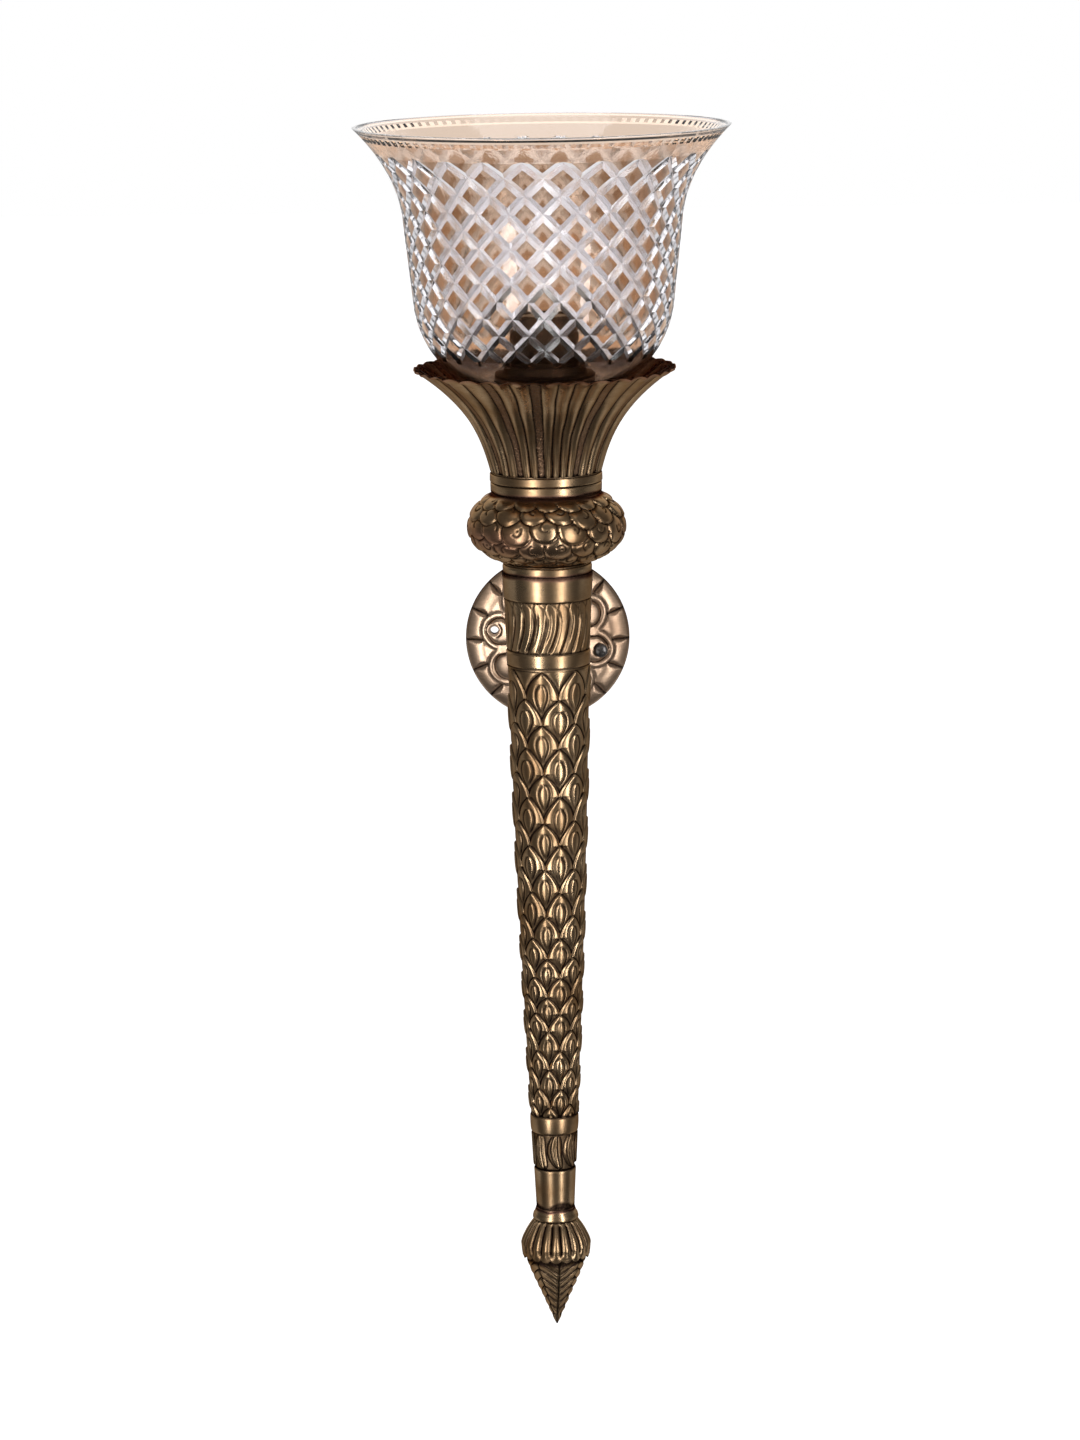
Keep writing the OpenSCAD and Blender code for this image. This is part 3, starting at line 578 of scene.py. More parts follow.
@dataclass(frozen=True)
class MouldedFinish(Finish):
    """Plastic, rubber, fibre or glazed ceramic.

    Attributes:
        colour: its main colour.
        rough: its mean roughness.
        grain: how coarse its surface grain is, in grains to the metre.
        depth: how deep the grain is, in metres.
        mottle: how much the colour varies.
    """

    colour: tuple = (0.8, 0.79, 0.75)
    rough: float = 0.45
    grain: float = 1500.0
    depth: float = 0.00005
    mottle: float = 0.15

    def dress(self, bench: NodeBench, shader: bpy.types.Node) -> None:
        """Mottles the colour a little and grains the surface.

        Args:
            bench: the bench of the material's nodes.
            shader: its shader.
        """
        patches = bench.cloud(220.0, 3)
        grain = bench.cloud(self.grain, 2)
        darker = tuple(c * (1 - self.mottle) for c in self.colour)
        colour = bench.blend(bench.range(patches, 0.35, 0.65), (*self.colour, 1), (*darker, 1))
        bench.feed(shader, {"Base Color": colour,
                            "Roughness": bench.range(grain, 0.3, 0.7, self.rough - 0.05, self.rough + 0.08),
                            "Normal": bench.bump(0.4, self.depth, grain)})


@dataclass(frozen=True)
class CutGlassFinish(Finish):
    """Amber flashed glass, whose wheel cuts are clear and slightly satin.

    Attributes:
        amber: its colour on the tables between the cuts.
        pale: its colour on the plain band and the rim.
        clear: its colour in the cuts.
        ior: how strongly it bends light.
    """

    amber: tuple = (0.38, 0.21, 0.11)
    pale: tuple = (0.7, 0.43, 0.26)
    clear: tuple = (0.74, 0.73, 0.76)
    ior: float = 1.5

    def dress(self, bench: NodeBench, shader: bpy.types.Node) -> None:
        """Tints the uncut skin amber in uneven depth and leaves the cuts clear.

        Args:
            bench: the bench of the material's nodes.
            shader: its shader.
        """
        flash, satin = bench.read("flash"), bench.read("satin")
        patches = bench.cloud(45.0, 4)
        seeds = bench.cloud((140.0, 140.0, 60.0), 3)
        deeper = tuple(c ** 1.5 for c in self.amber)
        amber = bench.blend(bench.range(patches, 0.3, 0.7), (*self.amber, 1), (*deeper, 1))
        skin = bench.blend(bench.range(flash, 0.6, 1.0), (*self.pale, 1), amber)
        colour = bench.blend(bench.range(flash, 0.0, 0.5), (*self.clear, 1), skin)
        bench.feed(shader, {"Base Color": colour, "Roughness": bench.range(satin, 0, 1, 0.06, 0.2),
                            "Normal": bench.bump(0.12, 0.0006, seeds), "IOR": self.ior, "Transmission Weight": 1.0})


@dataclass(frozen=True)
class FloorFinish(Finish):
    """Matt pale paper, which the camera and the glass see as white.

    Attributes:
        pale: its colour.
        lift: how far it is lifted to white.
    """

    pale: tuple = (0.86, 0.86, 0.86)
    lift: float = 0.8

    def dress(self, bench: NodeBench, shader: bpy.types.Node) -> None:
        """Lifts the paper for the camera and for rays through the glass, and keeps its shadows.

        Args:
            bench: the bench of the material's nodes.
            shader: its shader.
        """
        rays = bench.add("LightPath")
        seen = bench.sum("MAXIMUM", rays.outputs["Is Camera Ray"], rays.outputs["Is Transmission Ray"])
        bench.feed(shader, {"Base Color": (*self.pale, 1), "Roughness": 0.8, "Emission Color": (1, 1, 1, 1),
                            "Emission Strength": bench.sum("MULTIPLY", seen, self.lift)})


ANTIQUE = BrassFinish("antique_brass_finish")
PLATE = BrassFinish("plate_brass_finish", bright=(0.52, 0.37, 0.26), dull=(0.36, 0.24, 0.16), rough=0.36)
ARM = BrassFinish("arm_brass_finish", bright=(0.6, 0.46, 0.28), dull=(0.4, 0.29, 0.16), rough=0.33)
BARE = BrassFinish("bare_brass_finish", bright=(0.66, 0.52, 0.28), dull=(0.48, 0.35, 0.17), rough=0.3)
BRONZE = BrassFinish("dark_bronze_finish", bright=(0.07, 0.052, 0.04), dull=(0.035, 0.027, 0.022), rough=0.42)
STEEL = SteelFinish("plated_steel_finish")
SCREW_STEEL = SteelFinish("screw_steel_finish", bright=(0.17, 0.16, 0.155), dull=(0.08, 0.075, 0.072), rough=0.38)
BLOCK = MouldedFinish("block_finish", colour=(0.82, 0.81, 0.77), rough=0.5)
RUBBER = MouldedFinish("gasket_finish", colour=(0.05, 0.05, 0.05), rough=0.75, depth=0.0001)
CERAMIC = MouldedFinish("ceramic_finish", colour=(0.86, 0.83, 0.76), rough=0.18, grain=500.0, mottle=0.05)
FIBRE = MouldedFinish("fibre_finish", colour=(0.3, 0.17, 0.1), rough=0.8, grain=2500.0, depth=0.0002, mottle=0.35)
BROWN = MouldedFinish("brown_wire_finish", colour=(0.2, 0.09, 0.04), rough=0.42)
BLUE = MouldedFinish("blue_wire_finish", colour=(0.04, 0.16, 0.45), rough=0.42)
EARTH = MouldedFinish("earth_wire_finish", colour=(0.3, 0.48, 0.06), rough=0.42)
GLASS = CutGlassFinish("amber_glass_finish")
PAPER = FloorFinish("floor_finish")


@dataclass
class Shaft:
    """The tapered chased tube, in five bands from the neck down to the finial.

    Attributes:
        top, foot: its end heights.
        gadroon_top, gadroon_foot: the ends of the band of curved blades.
        leaf_top, leaf_foot: the ends of the leaves, which are two pieces that meet at leaf_split.
        oval_top, oval_foot: the ends of the band of beans.
        top_d, leaf_top_d, leaf_end_d, end_d: its diameters at those places, from the top down.
        swell: how far the leafed length bellies out.
        proud: how far its plain bands stand out.
        sheet: how thick it is.
        blades, leaves_round, ovals: how many there are round it.
        leaf_tips: the heights of the leaves' tips, row by row.
        row_above, row_below: the heights of the rows past the first and the last tip.
        leaf_turns: where a leaf stands in even rows and in odd ones.
    """

    top: float = 63.0
    gadroon_top: float = 48.0
    gadroon_foot: float = 17.0
    leaf_top: float = 8.0
    leaf_split: float = -110.0
    leaf_foot: float = -263.0
    oval_top: float = -274.5
    oval_foot: float = -296.0
    foot: float = -321.0
    top_d: float = 52.0
    leaf_top_d: float = 47.6
    leaf_end_d: float = 27.8
    end_d: float = 22.4
    swell: float = 0.9
    proud: float = 0.4
    sheet: float = 1.2
    leaves_round: int = 7
    leaf_tips: tuple = (7.6, -8.8, -24, -38.3, -53.8, -67, -82.6, -96.4, -110.9, -124.8, -139.4, -152.8, -165,
                        -176.1, -188.3, -198.8, -209.3, -221.7, -233.4, -245.2, -255.8)
    row_above: float = 16.4
    row_below: float = 10.6
    leaf_turns: tuple = (-10.7, 15.0)
    blades: int = 22
    ovals: int = 8

    def radius(self, height: float) -> float:
        """Works out the tube's plain radius.

        Args:
            height: where it is wanted.

        Returns:
            The radius.
        """
        if height > self.leaf_top:
            return mix(self.leaf_top_d, self.top_d, (height - self.leaf_top) / (self.top - self.leaf_top)) / 2
        if height > self.leaf_foot:
            t = (height - self.leaf_foot) / (self.leaf_top - self.leaf_foot)
            return mix(self.leaf_end_d, self.leaf_top_d, t) / 2 + 4 * self.swell * t * (1 - t)
        return mix(self.end_d, self.leaf_end_d, (height - self.foot) / (self.leaf_foot - self.foot)) / 2

    def length_of(self, name: str, low: float, high: float, step: float, columns: int,
                  relief: Relief) -> None:
        """Turns, chases and installs one length of the tube.

        Args:
            name: the piece's name.
            low, high: its end heights.
            step: how far apart its rings of points are.
            columns: how many points it has round.
            relief: what is chased into it.
        """
        count = max(2, round((high - low) / step))
        heights = [mix(low, high, i / count) for i in range(count + 1)]
        outside = [(self.radius(h), h) for h in heights]
        inside = [(self.radius(h) - self.sheet, h) for h in (high, mix(low, high, 0.5), low)]
        piece = Turning(name, outside, inside, columns, relief=relief).build()
        install(piece, ANTIQUE, "torch", ["shaft"])

    def build(self) -> None:
        """Makes the four lengths of the shaft."""
        self.length_of("shaft_head", self.leaf_top, self.top, 0.55, 340, self.chase_head)
        self.length_of("shaft_leaves_upper", self.leaf_split, self.leaf_top, 0.55, 390, self.chase_leaves)
        self.length_of("shaft_leaves_lower", self.leaf_foot, self.leaf_split, 0.62, 390, self.chase_leaves)
        self.length_of("shaft_tail", self.foot, self.leaf_foot, 0.45, 240, self.chase_tail)

    def chase_head(self, spots: Spots) -> Chasing:
        """Chases curved blades with arched tops between two plain bands.

        Args:
            spots: where the points of its skin lie.

        Returns:
            How they move and stain.
        """
        height, radius = spots.height, spots.radius
        turn = spots.turn + wander(spots.turn, height, 1.0, 0.8)
        t = (self.gadroon_top - height) / (self.gadroon_top - self.gadroon_foot)
        inside = (t > 0) & (t < 1)
        tc = np.clip(t, 0, 1)
        pitch = 360 / self.blades
        sweep = 3.0 * np.sin(np.pi * tc ** 0.8) - 3.6 * tc ** 2
        place = (turn - np.degrees(sweep / radius)) / pitch
        cell = np.rint(place)
        across = place - cell
        width = np.radians(pitch) * radius
        stroke = ease(tc, 0.04, 0.4) * (1 - ease(tc, 0.9, 1.0))
        stroke = stroke * (0.7 + 0.3 * chance(np.floor(place + 0.5), seed=8))
        edge = (0.5 - np.abs(across)) * width
        body = ease(edge + np.where(across > 0, 0.5, 0), 0.0, 2.4)
        groove = line(edge, 0.35 + 0.6 * stroke) * stroke
        arch_half = 0.5 * np.sqrt(np.clip(tc / 0.14, 0, 1))
        arch = line((arch_half - np.abs(across)) * width, 0.35) * (1 - ease(tc, 0.08, 0.2))
        vein_reach = ease(tc, 0.12, 0.3) * (1 - ease(tc, 0.62, 0.86)) * (chance(cell, seed=3) > 0.3)
        vein = line((across + 0.16) * width, 0.42) * vein_reach
        blade = 0.1 - 1.1 * (1 - body) * stroke - 0.45 * vein - 0.3 * arch - 0.25 * groove
        lip_top = line(height - self.gadroon_top, 0.45)
        lip_low = line(height - self.gadroon_foot - 1.0, 0.6)
        seam = line(height - self.leaf_top - 0.9, 0.5)
        plain = self.proud + 0.1 * np.sin(np.pi * np.clip((height - self.leaf_top) / 9, 0, 1))
        rise = np.where(inside, blade, plain)
        rise = rise - 0.35 * lip_top - 0.4 * lip_low - 0.35 * seam
        solder = ease(height, self.top - 3.2 + wander(spots.turn, height, 5, 1.0), self.top - 0.6)
        tarnish_and_shade = np.where(inside, groove + 0.9 * vein + 0.8 * arch, 0)
        tarnish_and_shade = tarnish_and_shade + 0.95 * lip_top + 0.9 * lip_low + 0.9 * seam + 0.75 * solder
        return Chasing(rise, np.clip(tarnish_and_shade, 0, 1), copper=0.8 * solder)

    def leaf_order(self, height: Field) -> tuple[Field, Field]:
        """Counts the leaf rows.

        Args:
            height: where the count is wanted.

        Returns:
            The row there, as a running number from the first tip down, and how high a row is there.
        """
        tips = np.array(self.leaf_tips)
        number = np.arange(len(tips), dtype=float)
        order = np.interp(-height, -tips, number)
        order = np.where(height > tips[0], (tips[0] - height) / self.row_above, order)
        order = np.where(height < tips[-1], len(tips) - 1 + (tips[-1] - height) / self.row_below, order)
        rows = np.abs(np.gradient(tips))
        return order, np.interp(order, number, rows)

    def leaf(self, across: Field, t: Field, number: Field, half_wide: Field, row_high: Field) -> tuple[Field, Field]:
        """Shapes one leaf's face, with its engraved teardrop.

        Args:
            across: how far across the leaf, from -1 to 1.
            t: how far down from its tip, in rows.
            number: the leaf's own number; below 0 it is the plain tube above the first row.
            half_wide: half its width in mm.
            row_high: the height of its row in mm.

        Returns:
            How far the face rises, and how dark the teardrop is.
        """
        lean = (chance(number, seed=1) - 0.5) * 0.1
        size = 0.33 + 0.08 * chance(number, seed=2)
        drop_top, drop_long = 0.42, 1.12
        u = np.clip((t - drop_top) / drop_long, 0, 1)
        drop_half = size * np.sin(np.pi * u ** 0.72) ** 0.85
        sampled = np.linspace(0, 1, 64)
        rate = np.gradient(size.mean() * np.sin(np.pi * sampled ** 0.72) ** 0.85, drop_long / 63)
        drop_slope = np.interp(u, sampled, np.clip(rate, -3, 3)) * half_wide / row_high
        drop_gap = (np.abs(across - lean) - drop_half) * half_wide / np.sqrt(1 + drop_slope ** 2)
        alive = (u > 0) & (u < 1)
        stroke = np.where(across > lean, 1.0, 0.6 + 0.4 * chance(number, seed=4))
        real = number >= 0
        fade = ease(t, 0.36, 0.5) * (1 - ease(t, 1.25, 1.6) * 0.75) * real
        drop = np.where(alive, line(drop_gap, 0.58), 0) * stroke * fade
        cut = np.where(alive, line(drop_gap, 0.8), 0) * stroke * fade
        inner = np.where(alive & (drop_gap < 0), ease(-drop_gap, 0, 1.6), 0)
        crown = 1 - (across ** 2 + 0.008) ** 0.75
        face = -0.85 + 1.5 * crown * (1 - ease(t, 0.8, 2.0) * 0.7) + 0.25 * inner - 0.45 * cut
        return np.where(real, face, -0.2), drop

    def chase_leaves(self, spots: Spots) -> Chasing:
        """Chases rows of pointed leaves, each lapping the row above, with a teardrop engraved in each.

        Args:
            spots: where the points of its skin lie.

        Returns:
            How they move and stain.
        """
        height = spots.height + wander(spots.turn, spots.height, 2.0, 0.5)
        turn = spots.turn + wander(spots.turn, spots.height, 3.0, 0.9)
        order, row_high = self.leaf_order(height)
        row = np.floor(order)
        t = order - row
        pitch = 360 / self.leaves_round
        even = row % 2 == 0
        phase = np.where(even, *self.leaf_turns)
        column = np.rint((turn - phase) / pitch)
        across = (turn - phase - column * pitch) / (pitch / 2)
        half_wide = np.radians(pitch / 2) * spots.radius
        shoulder, rounding, tip_bend = 0.94, 1.6, 0.85
        tt = np.clip(t / shoulder, 0.004, 1)
        ogive = 1 - (1 - tt) ** rounding
        arch = ogive ** tip_bend
        slope = tip_bend * ogive ** (tip_bend - 1) * rounding * (1 - tt) ** (rounding - 1) / shoulder
        slope = slope * half_wide / row_high
        gap = (arch - np.abs(across)) * half_wide / np.sqrt(1 + slope ** 2)
        own = gap > 0
        side = np.where(across >= 0, 1.0, -1.0)
        column_over = column + np.where(even, np.where(side > 0, 0, -1), np.where(side > 0, 1, 0))
        number, number_over = row * 11 + column % self.leaves_round, (row - 1) * 11 + column_over % self.leaves_round
        front, front_drop = self.leaf(across, t, number, half_wide, row_high)
        back, back_drop = self.leaf(across - side, t + 1, number_over, half_wide, row_high)
        edge_fall = 0.45
        front = front + edge_fall * (ease(gap, 0, 1.2) - 0.5)
        back = back + edge_fall / 2 - 0.5 * line(gap, 1.9)
        drop = np.where(own, front_drop, back_drop)
        groove = np.where(own, line(gap, 0.3), line(gap, 0.7))
        rise = mix(back, front, ease(gap, -0.8, 0.5)) - 0.32 * line(gap + 0.1, 0.75)
        leaf_t = np.where(own, t, t + 1)
        ends = line(height - self.leaf_foot - 0.3, 0.9) + line(height - self.leaf_top + 0.1, 0.6)
        plain_top = ease(height, self.leaf_tips[0] - 1.0, self.leaf_tips[0] + 0.2)
        rise = mix(rise, np.full_like(rise, -0.1), plain_top) - 0.3 * ends
        shade = 0.35 * np.where(own, 0, line(gap, 1.8)) + 0.2 * ease(leaf_t, 1.1, 2.0)
        tarnish_and_shade = np.maximum(groove, drop) + shade
        tarnish_and_shade = tarnish_and_shade * (1 - plain_top) + 0.9 * ends
        return Chasing(rise, np.clip(tarnish_and_shade, 0, 1))

    def chase_tail(self, spots: Spots) -> Chasing:
        """Chases a bulged plain band, a band of nested beans, and the plain end with its solder stain.

        Args:
            spots: where the points of its skin lie.

        Returns:
            How they move and stain.
        """
        height, radius = spots.height, spots.radius
        turn = spots.turn + wander(spots.turn, height, 7.0, 1.2)
        t = (self.oval_top - height) / (self.oval_top - self.oval_foot)
        inside = (t > 0) & (t < 1)
        tc = np.clip(t, 0, 1)
        pitch = 360 / self.ovals
        sweep = -1.7 * np.sin(np.pi * tc) + 2.4 * tc ** 2
        place = (turn - 4 - np.degrees(sweep / radius)) / pitch
        cell = np.rint(place)
        across = place - cell
        width = np.radians(pitch) * radius
        half = 0.46 * np.sqrt(np.clip(1 - ((tc - 0.46) / 0.5) ** 2, 0, 1)) ** 0.8
        edge = (half - np.abs(across)) * width
        inner_half = half * 0.52 - 0.03
        inner = line((np.abs(across + 0.03) - inner_half) * width, 0.5) * (inner_half > 0.03)
        vein = line((across + 0.05) * width, 0.42) * ease(tc, 0.25, 0.4) * (1 - ease(tc, 0.6, 0.8))
        groove = line(edge, 0.75)
        bean = np.where(edge > 0, -0.8 + 1.3 * ease(edge, 0, 1.8), -0.8) - 0.5 * inner - 0.35 * vein
        bands = [line(height - h, 0.5) for h in (self.leaf_foot - 0.2, self.oval_top + 0.6, self.oval_foot - 0.2)]
        middle = (self.leaf_foot + self.oval_top) / 2
        bulge = self.proud + 0.35 * np.clip(1 - ((height - middle) / 5.7) ** 2, 0, 1)
        plain = np.where(height > self.oval_top, bulge, self.proud * 0.4)
        rise = np.where(inside, bean, plain) - 0.4 * sum(bands)
        low = self.foot + 3.5 + 1.6 * np.sin(np.radians(turn * 3 + 40)) + wander(spots.turn, height, 9, 1.0)
        solder = 1 - ease(height, low - 1.2, low + 1.6)
        tarnish_and_shade = np.where(inside, np.maximum(groove, np.where(edge > 0, 0, 0.6)) + inner + 0.85 * vein, 0)
        tarnish_and_shade = tarnish_and_shade + 0.95 * sum(bands) + 0.85 * solder
        return Chasing(rise, np.clip(tarnish_and_shade, 0, 1), copper=0.25 * solder)


@dataclass(frozen=True)
class Ring:
    """One turned ring.

    Attributes:
        name: the CAD node it stands for.
        outside: (radius, height) from its foot to its top.
        bore: its inner radius.
        lines: the heights of its dark grooves.
        stains: the heights of its solder seams.
    """

    name: str
    outside: tuple
    bore: float
    lines: tuple
    stains: tuple

    def build(self) -> None:
        """Turns the ring and installs it."""
        inside = [(self.bore, self.outside[-1][1]), (self.bore, self.outside[0][1])]
        piece = Turning(self.name + "_turned", resample(list(self.outside), 0.35), inside, 200,
                        relief=self.chase).build()
        install(piece, ANTIQUE, "torch", [self.name])

    def chase(self, spots: Spots) -> Chasing:
        """Sinks the grooves and stains the seams.

        Args:
            spots: where the points of its skin lie.

        Returns:
            How they move and stain.
        """
        drift = wander(spots.turn, spots.height, len(self.name), 0.25)
        cuts = sum((line(spots.height - h + drift, 0.34) for h in self.lines), np.zeros_like(drift))
        seams = sum((line(spots.height - h + 2 * drift, 0.9) for h in self.stains), np.zeros_like(drift))
        return Chasing(-0.35 * cuts + 0.05 * drift, np.clip(0.95 * cuts + 0.85 * seams, 0, 1), copper=seams)


@dataclass
class Rings:
    """The neck ring, the collar above the finial and the ring under the cup."""

    neck: Ring = Ring("neck_ring", ((25.3, 63.0), (25.9, 63.4), (26.0, 66.5), (25.6, 68.4), (25.0, 69.0)), 22.1,
                      (68.3,), (63.4,))
    collar: Ring = Ring("finial_collar", ((12.9, -325.0), (12.5, -323.9), (12.0, -322.6), (11.7, -321.4),
                                          (11.4, -321.0)), 9.5, (), (-321.8,))
    under_cup: Ring = Ring("cup_ring", ((31.6, 110.0), (32.2, 110.6), (32.3, 115.6), (32.0, 116.0), (32.6, 116.6),
                                        (32.5, 121.0), (31.9, 122.0)), 26.0, (116.1, 121.5), (110.7,))

    def build(self) -> None:
        """Turns all three."""
        for ring in (self.neck, self.collar, self.under_cup):
            ring.build()


@dataclass(frozen=True)
class Scale:
    """One scale of the knob, as each point sees it; lengths are in scales.

    Attributes:
        row, key: its row and its place in it.
        dx, dy: how far the point is from its middle.
        along: how far towards its tip.
        reach: its radius.
        beyond: how far the point is past its edge.
        rank: the higher this is, the further in front it lies.
    """

    row: Field
    key: Field
    dx: Field
    dy: Field
    along: Field
    reach: Field
    beyond: Field
    rank: Field

    def luck(self, seed: float) -> Field:
        """Returns the scale's own fixed number from 0 to 1."""
        return chance(self.row, self.key, seed=seed)


@dataclass
class Knob:
    """The spun knob with lapping scales.

    Attributes:
        foot, widest, mouth: (radius, height) at its foot, its round and its mouth.
        sheet: how thick it is.
        scales_round: how many scales there are round it.
        rows_apart: how far apart their rows are, in scales.
        disc: how big each one is, in scales.
        hang: how far to the left they hang, in degrees from straight down.
    """

    foot: tuple = (24.1, 69.0)
    widest: tuple = (45.4, 89.5)
    mouth: tuple = (31.5, 110.0)
    sheet: float = 1.2
    scales_round: int = 17
    rows_apart: float = 0.66
    disc: float = 0.57
    hang: float = 35.0

    def outline(self) -> Path:
        """Draws the outside from the foot to the mouth.

        Returns:
            Its points.
        """
        (fr, fz), (wr, wz), (mr, mz) = self.foot, self.widest, self.mouth
        reach = mz - wz
        low = bezier(self.foot, (mix(fr, wr, 0.6), fz + reach * 0.22), (wr, wz - reach * 0.45), self.widest, 60)
        high = bezier(self.widest, (wr, wz + reach * 0.45), (mix(mr, wr, 0.62), wz + reach * 0.66), self.mouth, 60)
        return resample(low + high[1:], 0.42)

    def build(self) -> None:
        """Turns, chases and installs the knob."""
        outside = self.outline()
        piece = Turning("knob_chased", outside, sheet_of(outside, self.sheet, 6), 520, relief=self.chase).build()
        install(piece, ANTIQUE, "torch", ["knob"])

    def neighbours(self, across: Field, up: Field) -> list[Scale]:
        """Finds the nine scales nearest to each point.

        Args:
            across, up: the point's place on the net, in scales.

        Returns:
            The scales.
        """
        hang = math.radians(self.hang)
        toward = (-math.sin(hang), -math.cos(hang))
        near = []
        for row_step in (-1, 0, 1):
            row = np.rint(up / self.rows_apart) + row_step
            shift = 0.5 * (row % 2)
            for column_step in (-1, 0, 1):
                column = np.rint(across - shift) + column_step
                key = column % self.scales_round
                middle = column + shift + 0.2 * (chance(row, key, seed=1) - 0.5)
                level = row * self.rows_apart + 0.16 * (chance(row, key, seed=2) - 0.5)
                dx, dy = across - middle, up - level
                reach = self.disc * (0.95 + 0.12 * chance(row, key, seed=3))
                near.append(Scale(row, key, dx, dy, dx * toward[0] + dy * toward[1], reach,
                                  np.hypot(dx, dy) - reach, -(middle * toward[0] + level * toward[1])))
        return near

    def chase(self, spots: Spots) -> Chasing:
        """Lays scales on a net that keeps its shape from foot to mouth, each lapping its lower left neighbour.

        Args:
            spots: where the points of its skin lie.

        Returns:
            How they move and stain.
        """
        path = np.array(self.outline())
        pitch = math.tau / self.scales_round
        middles = 0.5 * (path[1:, 0] + path[:-1, 0])
        ladder = np.concatenate([[0], np.cumsum(np.diff(run_of(path)) / middles)]) / pitch
        up = np.interp(spots.run, run_of(path), ladder)
        round_ = np.radians(spots.turn) / pitch
        wobble = np.radians(spots.turn)
        up = up + 0.05 * np.sin(4 * wobble + 1.7 * up) + 0.03 * np.sin(7 * wobble - 3 * up)
        near = self.neighbours(round_, up)
        top_rank = np.full_like(up, -1e9)
        for scale in near:
            top_rank = np.where((scale.beyond < 0) & (scale.rank > top_rank), scale.rank, top_rank)
        size = pitch * spots.radius
        rise, tarnish_and_shade = np.full_like(up, -0.5), np.zeros_like(up)
        for scale in near:
            away = np.hypot(scale.dx, scale.dy)
            mine = (scale.beyond < 0) & (np.abs(scale.rank - top_rank) < 1e-9)
            face = -0.35 + 1.15 * np.clip(scale.along / scale.reach, -1, 1) + 0.9 * (1 - (away / scale.reach) ** 2)
            rounded = -0.6 * line(scale.beyond * size, 1.1)
            angle = np.arctan2(scale.dy, scale.dx) - scale.luck(5) * math.tau
            arc = line((away - 0.17) * size, 0.6) * (np.cos(angle) > -0.1)
            dot = line(np.hypot(scale.dx - 0.03, scale.dy - 0.02) * size, 0.7) * (scale.luck(7) > 0.4)
            mark = np.maximum(arc, dot)
            rise = np.where(mine, 1.1 * (face + 0.05) + rounded - 0.4 * mark, rise)
            tarnish_and_shade = np.where(mine, 0.85 * mark, tarnish_and_shade)
            over = (scale.rank > top_rank + 1e-9) & (scale.beyond > 0)
            shadow = np.where(over, line(scale.beyond * size, 1.0), 0)
            rise = rise - 0.45 * shadow
            tarnish_and_shade = np.maximum(tarnish_and_shade, 0.95 * shadow)
        foot_at, mouth_at = self.foot[1], self.mouth[1]
        ends = ease(spots.height, foot_at, foot_at + 3) * (1 - ease(spots.height, mouth_at - 4.5, mouth_at - 1))
        rise = rise * ends - 0.1
        seam = line(spots.height - (mouth_at - 0.6) + wander(spots.turn, spots.height, 4, 0.5), 1.1)
        foot = line(spots.height - (foot_at + 0.3), 0.8)
        patch = 0.5 + 0.5 * np.sin(np.radians(spots.turn) * 2 + 1.0 + 0.1 * spots.height)
        low_side = line(spots.height - (self.widest[1] - 3.5), 8.0) * patch
        tarnish_and_shade = np.clip(tarnish_and_shade * ends + 0.75 * seam + 0.8 * foot, 0, 1)
        return Chasing(np.clip(rise, -1.15, 0.85), tarnish_and_shade, copper=np.clip(0.9 * seam + 0.55 * low_side, 0, 1))


